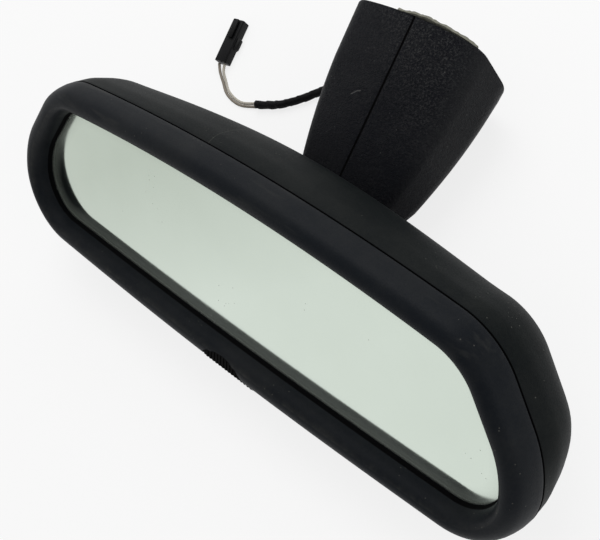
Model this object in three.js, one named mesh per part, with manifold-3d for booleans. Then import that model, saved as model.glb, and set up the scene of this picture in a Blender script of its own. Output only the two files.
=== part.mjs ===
// Interior rearview mirror with a two-part cover over its stem and a short lead, off its windscreen.
// Millimetres. Head, stem and cover are drawn in the head's frame: x to the right as the glass is
// looked at, y into the head, z up in use, with y = 0 at the lip around the glass. The whole is then
// laid on its back, where the head and the cover touch the table, and the lead lies on that table.
import * as THREE from 'three';
import { mergeVertices } from 'three/addons/utils/BufferGeometryUtils.js';
import Module from 'manifold-3d';

const wasm = await Module();
wasm.setup();

// Clearances shared by the whole part
const gap = 0.3; // between pieces that rest on each other
const runningGap = 0.3; // between the shells of the ball joint
const overrun = 2; // how far a cutting body runs past what it cuts

// Outline of the glass opening: the points where its sides would meet, and the radii there
const outline = {
  crownHeight: 33.4,
  crownRadius: 875,
  topCornerX: 95.3,
  topCornerHeight: 24.2,
  topCornerRadius: 18,
  sideX: 113,
  sideHeight: -0.6,
  sideRadius: 32,
  lowCornerX: 117.3,
  lowCornerHeight: -26.9,
  lowCornerRadius: 16,
  baseHeight: -30.8,
  baseRadius: 2530,
};
const outlineSteps = { crown: 6, topCorner: 5, side: 2, lowCorner: 7, base: 4 };

// Bezel: how wide the frame is around the opening, how far its crest stands in front of the glass
const bezel = {
  rimWidth: 10.9,
  crestRise: 7.7,
  seamDepth: 3.2,
  wall: 2.2,
  pocketClearance: 0.6,
  pocketWall: 0.9,
  pocketDepth: 3.5,
  lipThickness: 0.3,
  tongueDepth: 1.8,
  tongueWall: 1.3,
};
// across the rim as shares of its width, and in front of the lip as shares of the crest's rise
const bezelFrontShares = [
  [0, 0.02], [0.05, 0.16], [0.12, 0.54], [0.24, 0.86], [0.42, 1],
  [0.64, 0.95], [0.84, 0.7], [0.95, 0.31], [1, -0.13],
];
// the hollow back of the crest, in the same shares
const bezelBackShares = [[0.66, 0.32], [0.5, 0.62], [0.33, 0.55], [0.24, 0.2]];

// The head is fuller in its middle than at its ends: as a cosine along it, its back edge swells
// outwards and backwards, and the bottom of its rim by a share of its width
const swell = { back: 1.8, backSpan: 124, rimShare: 0.12, rimSpan: 190 };
const swellAt = (x, span) => Math.cos((Math.PI * x) / span);

// Finger recess across the bottom rim and the seam
const recess = { halfWidth: 12.5, height: 7.2, frontDepth: -5.4, backDepth: 11, sides: 28 };

// Glass, a wedge that is thicker at its top, with the pad and plate that carry it
const glass = { underLip: 0.9, thicknessTop: 5.2, thicknessBottom: 1.8 };
const pad = { inset: 3, thickness: 0.8 };
const plate = { inset: 0.6, thickness: 1.8 };

// Rear shell: depth of its back, its wall, and the raised middle
const shell = {
  depth: 32.4,
  wall: 2.2,
  crownRise: 2.4,
  crownShare: 0.6,
  tongueGap: 0.3,
  backInset: 10,
};
// outside of the shell: growth past the opening as shares of the rim, depth as shares of the shell's
const shellOuterShares = [
  [1, 0.16], [0.975, 0.31], [0.89, 0.44], [0.75, 0.62], [0.52, 0.795], [0.18, 0.91], [-0.36, 0.97],
];
const collar = { radius: 14.4, wall: 2.2, rise: 1.8, sides: 36 }; // set in the shell's back, round the stem
const slot = { length: 7.5, width: 1.1, depth: 13.5, height: -18 };

// Ball joint: the ball and the shells that close on it, one per swivel axis
const ball = { radius: 6.5, depth: 20.5, neckRadius: 4, steps: 10 };
const liner = { wall: 1.2 };
const cup = { wall: 1.4 };
const seat = { wall: 1.7 };
const jointOpening = THREE.MathUtils.degToRad(52); // half angle left open towards the stem
const seatOpening = THREE.MathUtils.degToRad(58); // the same on the carrier's seat
const jointMouth = THREE.MathUtils.degToRad(50); // half angle left open towards the glass
const jointSides = 20;
const jointSteps = 4;

// Pivot carrier, which joins the ball joint to the head through the dip hinge
const carrier = {
  halfWidth: 34,
  top: 20,
  bottom: -19,
  depth: 12.3,
  thickness: 2.6,
  earWidth: 3,
  earHalfDepth: 3.4,
};
const dipAxis = { depth: 13.6, height: 23.5 };
const pin = { radius: 1.4, clearance: 0.3, sides: 14 };
const ear = { width: 2.6, halfDepth: 3.2, cap: 3.2 };

// Dip lever, its pin and the leaf spring that snaps it over
const lever = {
  depth: 6.4,
  height: -33.4,
  bossRadius: 1.95,
  halfWidth: 7,
  tabThickness: 2.1,
  tabReach: 6.2,
  padHeight: 2.4,
  padThickness: 3.2,
  armReach: 8,
  armHalfWidth: 4,
  armThickness: 1.7,
};
const leverPin = { radius: 0.9, lugGap: 0.6, lugWidth: 2.2, lugHalfDepth: 1.9, lugCap: 1.9 };
const leaf = { halfWidth: 6, thickness: 0.7, top: -12.5, bottom: -23, setBack: 0.3 };

// Stem: a rod that leaves the ball, bends up and meets the windscreen foot
const stem = { radius: 5.5, sides: 14, steps: 16, leaveAngle: THREE.MathUtils.degToRad(20) };
const stemStraight = 27; // from the ball's centre to where the rod starts to bend

// Cover: its front seam is a straight line from the nose up to the windscreen end
const cover = {
  seamDepth: 51.7,
  seamHeight: 29.2,
  lean: THREE.MathUtils.degToRad(59.1),
  seamLength: 51.6,
  noseLength: 26,
  tailLength: 62,
  halfWidth: 33.1,
  taper: 5.2,
  taperLength: 42.9,
  thickness: 28,
  thicknessGrowth: 0.152,
  wall: 2.2,
  halfSeam: 0.15,
  stemClearance: 1.7,
};
// the cover's cross section in half widths: across, back, the radius at that point, and the steps
// along it; each ring of the cover stretches it to its own half width and thickness
const coverSectionShares = [
  [0, -0.073, 3, 4], [0.863, 0.123, 0.23, 4], [1.024, 0.737, 0.36, 3], [0.77, 1.35, 0.3, 4], [0, 1.377, 4, 3],
];
const coverSectionShare = 1.35; // its thickness in half widths
// how the nose closes: place along the nose and size of the section there, both as shares
const coverNoseShares = [[1, 0.42], [0.96, 0.64], [0.86, 0.82], [0.68, 0.94], [0.42, 1]];
const coverTaperShares = [0, 0.36, 0.7, 1]; // the rings along its taper, as shares of it

// Windscreen end: foot, clamp plate, screws and adhesive
const windscreenAngle = THREE.MathUtils.degToRad(56.6);
const foot = {
  setBack: 19,
  halfWidth: 19,
  front: 14.5,
  back: 13.5,
  thickness: 4.6,
  cornerRadius: 6,
  sunk: 0.5,
  bossHalfWidth: 12,
  bossHalfLength: 8,
  bossHeight: 5,
};
const clamp = { halfWidth: 15, halfLength: 10.5, thickness: 2, cornerRadius: 4 };
const flange = { halfWidth: 14, halfLength: 8, thickness: 3.4, cornerRadius: 4 };
const screw = { spread: 10, shankRadius: 1.5, headRadius: 2.7, headHeight: 2, clearance: 0.3, sides: 14 };
const adhesive = { halfWidth: 17.5, front: 12.5, back: 12, thickness: 1.1, cornerRadius: 5 };
const tape = { thickness: 1.1, startShare: 0.07, endShare: 0.76, bendShare: 0.69, bow: 2.4 };
// torn tape along the cover's curved front edge: place along it, then its outer and inner edge behind
// the cover's, as shares of the foot's front
const tapeEdgeShares = [
  [0, -0.04, 0.1], [0.14, -0.07, 0.24], [0.3, -0.03, 0.17], [0.46, -0.06, 0.28],
  [0.62, -0.01, 0.2], [0.8, 0.01, 0.3], [0.93, 0.07, 0.26], [1, 0.14, 0.2],
];

// Lead: grommet in the left cover, taped sleeve, two wires and their connector
const grommet = { along: 18.5, back: 24, radius: 3, flange: 1.2, sides: 16 };
const terminal = { halfWidth: 4.5, length: 9, height: 4.6, offsetX: -17 };
const sleeve = { radius: 1.75, sides: 8, steps: 20 };
const wire = { radius: 0.6, sides: 8, steps: 22 };
const connector = {
  length: 19.6,
  halfWidth: 3.1,
  height: 4.6,
  chamferShare: 0.16,
  cavityHalfWidth: 0.95,
  cavityPitch: 2.9,
  cavityHeight: 1.9,
  cavityDepth: 8,
  latchLength: 8.4,
  latchHalfWidth: 1.3,
  latchHeight: 1.1,
};
const contact = { halfWidth: 0.6, height: 1.1, length: 6.4 };
// lead on the table, by hand: the sleeve after its grommet, then each wire after the sleeve
const leadOut = 3; // how far the sleeve runs straight out of its grommet
const sleeveRoute = [
  [-38.6, 42.4, 6.4], [-43.6, 41.7, 3.3], [-48.6, 38.3, 1.9],
  [-54.6, 32.4, 1.85], [-62.4, 26.4, 1.85], [-72.3, 21.3, 1.85],
];
const wireRouteA = [
  [-72.4, 20.4, 0.9], [-80.8, 17.5, 0.65], [-90.7, 19, 0.65],
  [-96.6, 22.8, 0.8], [-100.4, 26.2, 1.8], [-101.9, 29.2, 2.3],
];
const wireRouteB = [
  [-73, 21.8, 0.9], [-81.2, 19.1, 0.65], [-89.7, 20.6, 0.65],
  [-94.6, 24, 0.8], [-97.7, 27, 1.8], [-99, 29.9, 2.3],
];
const connectorPlace = { x: -100.5, y: 30, turn: THREE.MathUtils.degToRad(10.5) };

const paint = (color, roughness, metalness = 0) =>
  new THREE.MeshStandardMaterial({ color, roughness, metalness });
const looks = {
  bezel: () => paint(0x202426, 0.55),
  shell: () => paint(0x262a2a, 0.6),
  cover: () => paint(0x1e2026, 0.6),
  glass: () => paint(0xc8d2c8, 0.06, 0.85),
  foam: () => paint(0x3a3a38, 0.95),
  plastic: () => paint(0x2c2e30, 0.6),
  steel: () => paint(0x9a9da0, 0.35, 0.9),
  zinc: () => paint(0x7d8083, 0.45, 0.8),
  nylon: () => paint(0xd8d4c6, 0.5),
  adhesive: () => paint(0x8f8e86, 0.85),
  tape: () => paint(0xa8a48c, 0.85),
  rubber: () => paint(0x141415, 0.8),
  clothTape: () => paint(0x111112, 0.9),
  greyWire: () => paint(0x8d8478, 0.6),
  paleWire: () => paint(0xc9c4b8, 0.6),
  connector: () => paint(0x101011, 0.5),
};

// Meshes and solids
function signedVolume(points, faces) {
  let sum = 0;
  for (const [a, b, c] of faces) sum += points[a].dot(points[b].clone().cross(points[c]));
  return sum;
}

function geometryFrom(points, faces) {
  const outward = signedVolume(points, faces) > 0;
  const ordered = faces.map(([a, b, c]) => (outward ? [a, b, c] : [a, c, b]));
  const geometry = new THREE.BufferGeometry();
  geometry.setAttribute('position', new THREE.Float32BufferAttribute(points.flatMap((p) => p.toArray()), 3));
  geometry.setIndex(ordered.flat());
  geometry.computeVertexNormals();
  return geometry;
}

function solid(geometry) {
  const bare = geometry.clone();
  bare.deleteAttribute('normal');
  bare.deleteAttribute('uv');
  const merged = mergeVertices(bare);
  const index = merged.index.array;
  const kept = [];
  for (let i = 0; i < index.length; i += 3) {
    const [a, b, c] = [index[i], index[i + 1], index[i + 2]];
    if (a !== b && b !== c && c !== a) kept.push(a, b, c);
  }
  return new wasm.Manifold(new wasm.Mesh({
    numProp: 3,
    vertProperties: merged.attributes.position.array,
    triVerts: Uint32Array.from(kept),
  }));
}

function geometryOf(body) {
  const mesh = body.getMesh();
  const geometry = new THREE.BufferGeometry();
  geometry.setAttribute('position', new THREE.Float32BufferAttribute(mesh.vertProperties, 3));
  geometry.setIndex(Array.from(mesh.triVerts));
  geometry.computeVertexNormals();
  return geometry;
}

const join = (...bodies) => bodies.reduce((sum, body) => sum.add(body));
const cut = (body, ...tools) => tools.reduce((rest, tool) => rest.subtract(tool), body);

function box(x0, x1, y0, y1, z0, z1) {
  const geometry = new THREE.BoxGeometry(x1 - x0, y1 - y0, z1 - z0);
  return geometry.translate((x0 + x1) / 2, (y0 + y1) / 2, (z0 + z1) / 2);
}

// a round bar along x
function barX(radius, x0, x1, y, z, sides) {
  const geometry = new THREE.CylinderGeometry(radius, radius, x1 - x0, sides);
  return geometry.rotateZ(Math.PI / 2).translate((x0 + x1) / 2, y, z);
}

// a round bar along z
function barZ(radius, z0, z1, x, y, sides) {
  const geometry = new THREE.CylinderGeometry(radius, radius, z1 - z0, sides);
  return geometry.rotateX(Math.PI / 2).translate(x, y, (z0 + z1) / 2);
}

// a plate with round corners in x and y, from z0 to z1
function roundPlate(x0, x1, y0, y1, radius, z0, z1) {
  const shape = new THREE.Shape();
  shape.absarc(x1 - radius, y1 - radius, radius, 0, Math.PI / 2);
  shape.absarc(x0 + radius, y1 - radius, radius, Math.PI / 2, Math.PI);
  shape.absarc(x0 + radius, y0 + radius, radius, Math.PI, Math.PI * 1.5);
  shape.absarc(x1 - radius, y0 + radius, radius, Math.PI * 1.5, Math.PI * 2);
  const run = { depth: z1 - z0, bevelEnabled: false, curveSegments: 4 };
  return new THREE.ExtrudeGeometry(shape, run).translate(0, 0, z0);
}

// The closed curve round corner points, each rounded by its radius and grown outwards by a distance
// that may differ from place to place
function roundedLoop(corners, growAt) {
  const loop = [];
  corners.forEach((corner, i) => {
    const before = corners[(i + corners.length - 1) % corners.length];
    const after = corners[(i + 1) % corners.length];
    const toBefore = before.at.clone().sub(corner.at).normalize();
    const toAfter = after.at.clone().sub(corner.at).normalize();
    const halfAngle = Math.acos(toBefore.dot(toAfter)) / 2;
    const inwards = toBefore.clone().add(toAfter).normalize();
    const centre = corner.at.clone().addScaledVector(inwards, corner.radius / Math.sin(halfAngle));
    const reach = corner.radius / Math.tan(halfAngle);
    const first = corner.at.clone().addScaledVector(toBefore, reach).sub(centre);
    const last = corner.at.clone().addScaledVector(toAfter, reach).sub(centre);
    const turn = Math.atan2(first.cross(last), first.dot(last));
    for (let k = 0; k <= corner.steps; k += 1) {
      const arm = first.clone().rotateAround(new THREE.Vector2(), (turn * k) / corner.steps);
      const grow = growAt(centre.clone().add(arm));
      loop.push(centre.clone().add(arm.setLength(corner.radius + grow)));
    }
  });
  return loop;
}

// Corner points of a shape that is the same left and right: the first and last lie on the middle
function mirroredCorners(rightHalf) {
  const corner = ([x, y, radius, steps]) => ({ at: new THREE.Vector2(x, y), radius, steps });
  const sides = rightHalf.slice(1, -1);
  const left = sides.map(([x, y, radius, steps]) => [-x, y, radius, steps]).reverse();
  return [rightHalf[0], ...sides, rightHalf[rightHalf.length - 1], ...left].map(corner);
}

const headCorners = mirroredCorners([
  [0, outline.crownHeight, outline.crownRadius, outlineSteps.crown],
  [outline.topCornerX, outline.topCornerHeight, outline.topCornerRadius, outlineSteps.topCorner],
  [outline.sideX, outline.sideHeight, outline.sideRadius, outlineSteps.side],
  [outline.lowCornerX, outline.lowCornerHeight, outline.lowCornerRadius, outlineSteps.lowCorner],
  [0, outline.baseHeight, outline.baseRadius, outlineSteps.base],
]);

// how much wider the rim is below the glass, by the place on the opening
const rimShareAt = (p) =>
  1 + swell.rimShare * Math.max(0, p.y / outline.baseHeight) * swellAt(p.x, swell.rimSpan);

// One ring of the head: the opening grown by a distance, at a depth that may follow the height, drawn
// in about its middle, and swollen by a distance
function headRing(grow, depth, share = 1, swollen = 0) {
  const place = typeof depth === 'function' ? depth : () => depth;
  const extra = (x) => swollen * swellAt(x, swell.backSpan);
  return roundedLoop(headCorners, (p) => grow * rimShareAt(p) + extra(p.x))
    .map((p) => new THREE.Vector3(p.x * share, place(p.y) + extra(p.x), p.y * share));
}

// A skin over rings of equal counts: closed on itself, or with a flat face on each end
function loft(rings, closed, across = (p) => new THREE.Vector2(p.x, p.z)) {
  const count = rings[0].length;
  const faces = [];
  for (let i = 0; i < (closed ? rings.length : rings.length - 1); i += 1) {
    const here = i * count;
    const next = ((i + 1) % rings.length) * count;
    for (let j = 0; j < count; j += 1) {
      const k = (j + 1) % count;
      faces.push([here + j, next + j, next + k], [here + j, next + k, here + k]);
    }
  }
  if (!closed) {
    const capEnd = (ring, start, alongRing) => {
      const flat = ring.map(across);
      const turn = THREE.ShapeUtils.area(flat) > 0;
      for (const [a, b, c] of THREE.ShapeUtils.triangulateShape(flat, [])) {
        const same = (THREE.ShapeUtils.area([flat[a], flat[b], flat[c]]) > 0) === turn;
        const [second, third] = same === alongRing ? [b, c] : [c, b];
        faces.push([start + a, start + second, start + third]);
      }
    };
    capEnd(rings[0], 0, true);
    capEnd(rings[rings.length - 1], (rings.length - 1) * count, false);
  }
  return geometryFrom(rings.flat(), faces);
}

const headGroup = new THREE.Group();
const mountGroup = new THREE.Group();
const leadGroup = new THREE.Group();

function addPiece(group, name, geometry, material) {
  const mesh = new THREE.Mesh(geometry, material);
  mesh.name = name;
  group.add(mesh);
  return mesh;
}

// Bezel: a closed section swept round the opening, with the finger recess cut through its bottom
const outerFoot = outline.baseHeight - bezel.rimWidth * (1 + swell.rimShare);
function fingerRecess() {
  const shape = new THREE.Shape();
  shape.absellipse(0, 0, recess.halfWidth, recess.height, 0, Math.PI * 2);
  const depth = recess.backDepth - recess.frontDepth;
  const run = { depth, bevelEnabled: false, curveSegments: recess.sides };
  const geometry = new THREE.ExtrudeGeometry(shape, run).rotateX(Math.PI / 2);
  return solid(geometry.translate(0, recess.backDepth, outerFoot));
}

function makeBezel() {
  const pocket = glass.underLip + bezel.pocketClearance;
  const front = bezelFrontShares.map(([w, r]) => [w * bezel.rimWidth, -r * bezel.crestRise]);
  const back = bezelBackShares.map(([w, r]) => [w * bezel.rimWidth, -r * bezel.crestRise]);
  const tongue = bezel.rimWidth - bezel.wall;
  const section = [
    ...front,
    [bezel.rimWidth, bezel.seamDepth],
    [tongue, bezel.seamDepth],
    [tongue, bezel.seamDepth + bezel.tongueDepth],
    [tongue - bezel.tongueWall, bezel.seamDepth + bezel.tongueDepth],
    ...back,
    [pocket + bezel.pocketWall, bezel.pocketDepth],
    [pocket, bezel.pocketDepth],
    [pocket, bezel.lipThickness / 2],
    [0, bezel.lipThickness / 2],
  ];
  return cut(solid(loft(section.map(([grow, depth]) => headRing(grow, depth)), true)), fingerRecess());
}
addPiece(headGroup, 'bezel', geometryOf(makeBezel()), looks.bezel());

// Glass, pad and plate lie on each other behind the lip, on the slope of the wedge's back
const glassFront = bezel.lipThickness / 2 + gap;
const wedgeSlope = (glass.thicknessTop - glass.thicknessBottom) / (outline.crownHeight - outline.baseHeight);
const glassBack = (z) => glassFront + glass.thicknessBottom + wedgeSlope * (z - outline.baseHeight);
const padFront = (z) => glassBack(z) + gap;
const padBack = (z) => padFront(z) + pad.thickness;
const plateFront = (z) => padBack(z) + gap;
const plateBack = (z) => plateFront(z) + plate.thickness;
const wedge = (grow, front, back) => loft([headRing(grow, front), headRing(grow, back)], false);
addPiece(headGroup, 'mirror_glass', wedge(glass.underLip, glassFront, glassBack), looks.glass());
addPiece(headGroup, 'glass_pad', wedge(-pad.inset, padFront, padBack), looks.foam());

function makeBackingPlate() {
  const base = solid(wedge(-plate.inset, plateFront, plateBack));
  const earInner = carrier.halfWidth + gap;
  const parts = [base];
  const holes = [];
  for (const side of [-1, 1]) {
    const x0 = Math.min(side * earInner, side * (earInner + ear.width));
    const top = dipAxis.height + ear.cap;
    const earDepth = dipAxis.depth + ear.halfDepth;
    const under = dipAxis.height - ear.cap;
    parts.push(solid(box(x0, x0 + ear.width, plateFront(under), earDepth, under, top)));
    const lugInner = lever.halfWidth + leverPin.lugGap;
    const lugX = Math.min(side * lugInner, side * (lugInner + leverPin.lugWidth));
    const lugTop = outline.baseHeight + ear.cap;
    const lugBack = lever.depth + leverPin.lugHalfDepth;
    const lugLow = lever.height - leverPin.lugCap;
    parts.push(solid(box(lugX, lugX + leverPin.lugWidth, plateFront(lugTop), lugBack, lugLow, lugTop)));
  }
  const pinHole = pin.radius + pin.clearance;
  const leverHole = leverPin.radius + pin.clearance;
  const reach = earInner + ear.width + overrun;
  holes.push(solid(barX(pinHole, -reach, reach, dipAxis.depth, dipAxis.height, pin.sides)));
  holes.push(solid(barX(leverHole, -reach, reach, lever.depth, lever.height, pin.sides)));
  const front = box(-outline.lowCornerX, outline.lowCornerX, -bezel.crestRise, plateFront(lever.height),
    lever.height - leverPin.lugCap - overrun, outline.baseHeight);
  return cut(join(...parts), ...holes, solid(front));
}
addPiece(headGroup, 'backing_plate', geometryOf(makeBackingPlate()), looks.plastic());

// Rear shell: outer skin less inner skin, with a hole for the collar and a slot at each end
const stemAlong = new THREE.Vector3(0, Math.cos(stem.leaveAngle), Math.sin(stem.leaveAngle));
const ballCentre = new THREE.Vector3(0, ball.depth, 0);
const shellBack = shell.depth + shell.crownRise;
const collarHeight = (shellBack - ball.depth) * Math.tan(stem.leaveAngle);

// a round bar along y, about the collar's middle
function barY(radius, from, to) {
  const geometry = new THREE.CylinderGeometry(radius, radius, to - from, collar.sides);
  return solid(geometry.translate(0, (from + to) / 2, collarHeight));
}

function makeRearShell() {
  const seam = bezel.seamDepth + gap;
  const outerLevels = shellOuterShares.map(([w, d]) => [w * bezel.rimWidth, d * shell.depth]);
  const innerLevels = outerLevels.map(([grow, depth]) => [grow - shell.wall, depth - shell.wall / 2]);
  innerLevels[0][1] = outerLevels[0][1];
  const [lastGrow] = outerLevels[outerLevels.length - 1];
  const tongue = bezel.rimWidth - bezel.wall + shell.tongueGap;
  const tongueEnd = bezel.seamDepth + bezel.tongueDepth + gap;
  const swollenRing = (grow, depth) => headRing(grow, depth, 1, (swell.back * depth) / shell.depth);
  const outer = [
    headRing(bezel.rimWidth, seam),
    ...outerLevels.map(([grow, depth]) => swollenRing(grow, depth)),
    swollenRing(-shell.backInset, shell.depth),
    headRing(-shell.backInset, shellBack, shell.crownShare),
  ];
  const inner = [
    headRing(tongue, seam - overrun),
    headRing(tongue, tongueEnd),
    ...innerLevels.map(([grow, depth]) => swollenRing(grow, Math.max(depth, tongueEnd + gap))),
    swollenRing(lastGrow - shell.wall * 2, shell.depth - shell.wall),
    headRing(-shell.backInset, shellBack - shell.wall, shell.crownShare),
  ];
  const hole = barY(collar.radius + collar.wall + gap, ball.depth, shellBack + overrun);
  const slots = [-1, 1].map((side) => {
    const x = side * (outline.lowCornerX + bezel.rimWidth);
    const depth0 = slot.depth - slot.width / 2;
    const height0 = slot.height - slot.length / 2;
    const reach = bezel.rimWidth + shell.wall;
    return solid(box(x - reach, x + reach, depth0, depth0 + slot.width, height0, height0 + slot.length));
  });
  const skin = cut(solid(loft(outer, false)), solid(loft(inner, false)));
  return cut(skin, hole, fingerRecess(), ...slots);
}
addPiece(headGroup, 'rear_shell', geometryOf(makeRearShell()), looks.shell());

const collarEnd = shellBack + collar.rise;
const collarRing = cut(
  barY(collar.radius + collar.wall, shell.depth - shell.wall, collarEnd),
  barY(collar.radius, ball.depth, collarEnd + overrun),
);
addPiece(headGroup, 'stem_collar', geometryOf(collarRing), looks.shell());

// Ball joint: spherical rings round the ball, open towards the stem and towards the glass
function sphereShell(inner, outer, opening = jointOpening) {
  const arc = (radius) => Array.from({ length: jointSteps + 1 }, (_, k) => {
    const polar = opening + ((Math.PI - jointMouth - opening) * k) / jointSteps;
    return new THREE.Vector2(Math.sin(polar) * radius, Math.cos(polar) * radius);
  });
  const profile = [...arc(inner), ...arc(outer).reverse()];
  profile.push(profile[0].clone());
  const ring = geometryOf(solid(new THREE.LatheGeometry(profile, jointSides)));
  return ring.rotateX(stem.leaveAngle).translate(ballCentre.x, ballCentre.y, ballCentre.z);
}
const linerInner = ball.radius + runningGap;
const linerOuter = linerInner + liner.wall;
const cupInner = linerOuter + runningGap;
const cupOuter = cupInner + cup.wall;
const seatInner = cupOuter + runningGap;
const seatOuter = seatInner + seat.wall;
addPiece(headGroup, 'ball_liner', sphereShell(linerInner, linerOuter), looks.nylon());
addPiece(headGroup, 'ball_cup', sphereShell(cupInner, cupOuter), looks.steel());

function makeCarrier() {
  const back = carrier.depth + carrier.thickness;
  const sheet = box(-carrier.halfWidth, carrier.halfWidth, carrier.depth, back, carrier.bottom, carrier.top);
  const hollow = new THREE.SphereGeometry(seatInner, jointSides, jointSteps * 2);
  const parts = [solid(sheet), solid(sphereShell(seatInner, seatOuter, seatOpening))];
  for (const side of [-1, 1]) {
    const x1 = side * carrier.halfWidth;
    const x0 = side * (carrier.halfWidth - carrier.earWidth);
    const [left, right] = [Math.min(x0, x1), Math.max(x0, x1)];
    const y0 = dipAxis.depth - carrier.earHalfDepth;
    const y1 = dipAxis.depth + carrier.earHalfDepth;
    parts.push(solid(box(left, right, y0, y1, carrier.top - overrun, dipAxis.height + ear.cap)));
  }
  const reach = carrier.halfWidth + overrun;
  const hole = barX(pin.radius + pin.clearance, -reach, reach, dipAxis.depth, dipAxis.height, pin.sides);
  return cut(join(...parts), solid(hollow.translate(ballCentre.x, ballCentre.y, ballCentre.z)), solid(hole));
}
addPiece(headGroup, 'pivot_carrier', geometryOf(makeCarrier()), looks.plastic());

for (const [word, side] of [['left', -1], ['right', 1]]) {
  const inner = side * (carrier.halfWidth - carrier.earWidth - gap);
  const outer = side * (carrier.halfWidth + gap * 2 + ear.width);
  const [x0, x1] = [Math.min(inner, outer), Math.max(inner, outer)];
  const geometry = barX(pin.radius, x0, x1, dipAxis.depth, dipAxis.height, pin.sides);
  addPiece(headGroup, `pivot_pin_${word}`, geometry, looks.steel());
}

const leafFront = carrier.depth + carrier.thickness + leaf.setBack;
const leafBack = leafFront + leaf.thickness;
const leafBox = box(-leaf.halfWidth, leaf.halfWidth, leafFront, leafBack, leaf.bottom, leaf.top);
addPiece(headGroup, 'toggle_spring', leafBox, looks.steel());

function makeLever() {
  const [x0, x1] = [-lever.halfWidth, lever.halfWidth];
  const boss = barX(lever.bossRadius, x0, x1, lever.depth, lever.height, pin.sides);
  const tabTip = lever.height - lever.tabReach;
  const tabFront = lever.depth - lever.tabThickness / 2;
  const tab = box(x0, x1, tabFront, tabFront + lever.tabThickness, tabTip, lever.height);
  const padFace = lever.depth - lever.padThickness / 2;
  const fingerPad = box(x0, x1, padFace, padFace + lever.padThickness, tabTip, tabTip + lever.padHeight);
  const armFront = lever.depth + lever.bossRadius - lever.armThickness;
  const arm = box(-lever.armHalfWidth, lever.armHalfWidth, armFront, armFront + lever.armThickness,
    lever.height, lever.height + lever.armReach);
  const reach = lever.halfWidth + overrun;
  const bore = barX(leverPin.radius + pin.clearance, -reach, reach, lever.depth, lever.height, pin.sides);
  return cut(join(solid(boss), solid(tab), solid(fingerPad), solid(arm)), solid(bore));
}
addPiece(headGroup, 'dip_lever', geometryOf(makeLever()), looks.plastic());
const pinReach = lever.halfWidth + leverPin.lugGap + leverPin.lugWidth + gap;
const leverPinBar = barX(leverPin.radius, -pinReach, pinReach, lever.depth, lever.height, pin.sides);
addPiece(headGroup, 'lever_pin', leverPinBar, looks.steel());

// Windscreen end: a frame of its own, z out through the windscreen, y down and forward along it
const seamStart = new THREE.Vector3(0, cover.seamDepth, cover.seamHeight);
const up = new THREE.Vector3(0, Math.cos(cover.lean), Math.sin(cover.lean));
const backwards = new THREE.Vector3(0, Math.sin(cover.lean), -Math.cos(cover.lean));
const screenNormal = new THREE.Vector3(0, Math.sin(windscreenAngle), Math.cos(windscreenAngle));
const coverPoint = (along, back, x = 0) =>
  seamStart.clone().addScaledVector(up, along).addScaledVector(backwards, back).setX(x);
const coverThickness = (along) => cover.thickness + cover.thicknessGrowth * along;
function coverHalfWidth(along) {
  const left = Math.max(0, 1 - along / cover.taperLength);
  return cover.halfWidth - cover.taper * left ** 2;
}
const screenEdge = coverPoint(cover.seamLength, 0);
const footBase = coverPoint(0, foot.setBack);
const footAlong = screenEdge.clone().sub(footBase).dot(screenNormal) / up.dot(screenNormal);
const footCentre = coverPoint(footAlong, foot.setBack);
const screenFrame = new THREE.Group();
screenFrame.position.copy(footCentre);
screenFrame.rotation.x = -windscreenAngle;
screenFrame.updateMatrix();
mountGroup.add(screenFrame);
const toScreen = screenFrame.matrix.clone().invert();

const footTop = -foot.sunk;
const footUnder = footTop - foot.thickness;
const bossUnder = footUnder - foot.bossHeight;
const clampTop = bossUnder - gap;
const clampUnder = clampTop - clamp.thickness;
const flangeTop = clampUnder - gap;
const flangeUnder = flangeTop - flange.thickness;
const screwHoles = (radius, from, to) =>
  [-1, 1].map((side) => solid(barZ(radius, from, to, side * screw.spread, 0, screw.sides)));
const screwHole = screw.shankRadius + screw.clearance;
const screwTop = footUnder - foot.bossHeight + screw.headHeight * 2;

function makeFoot() {
  const top = roundPlate(-foot.halfWidth, foot.halfWidth, -foot.front, foot.back,
    foot.cornerRadius, footUnder, footTop);
  const boss = box(-foot.bossHalfWidth, foot.bossHalfWidth, -foot.bossHalfLength, foot.bossHalfLength,
    bossUnder, footUnder + overrun);
  return cut(join(solid(top), solid(boss)), ...screwHoles(screwHole, bossUnder - overrun, screwTop + gap));
}
addPiece(screenFrame, 'windscreen_foot', geometryOf(makeFoot()), looks.zinc());

function makeClamp() {
  const sheet = roundPlate(-clamp.halfWidth, clamp.halfWidth, -clamp.halfLength, clamp.halfLength,
    clamp.cornerRadius, clampUnder, clampTop);
  return cut(solid(sheet), ...screwHoles(screwHole, clampUnder - overrun, clampTop + overrun));
}
addPiece(screenFrame, 'clamp_plate', geometryOf(makeClamp()), looks.steel());

for (const [word, side] of [['left', -1], ['right', 1]]) {
  const headTop = flangeUnder - gap;
  const x = side * screw.spread;
  const head = solid(barZ(screw.headRadius, headTop - screw.headHeight, headTop, x, 0, screw.sides));
  const shank = solid(barZ(screw.shankRadius, headTop - screw.headHeight / 2, screwTop, x, 0, screw.sides));
  addPiece(screenFrame, `foot_screw_${word}`, geometryOf(join(head, shank)), looks.steel());
}

const padUnder = footTop + gap;
const padTop = padUnder + adhesive.thickness;
const adhesiveSheet = roundPlate(-adhesive.halfWidth, adhesive.halfWidth, -adhesive.front, adhesive.back,
  adhesive.cornerRadius, padUnder, padTop);
addPiece(screenFrame, 'adhesive_pad', adhesiveSheet, looks.adhesive());

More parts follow.
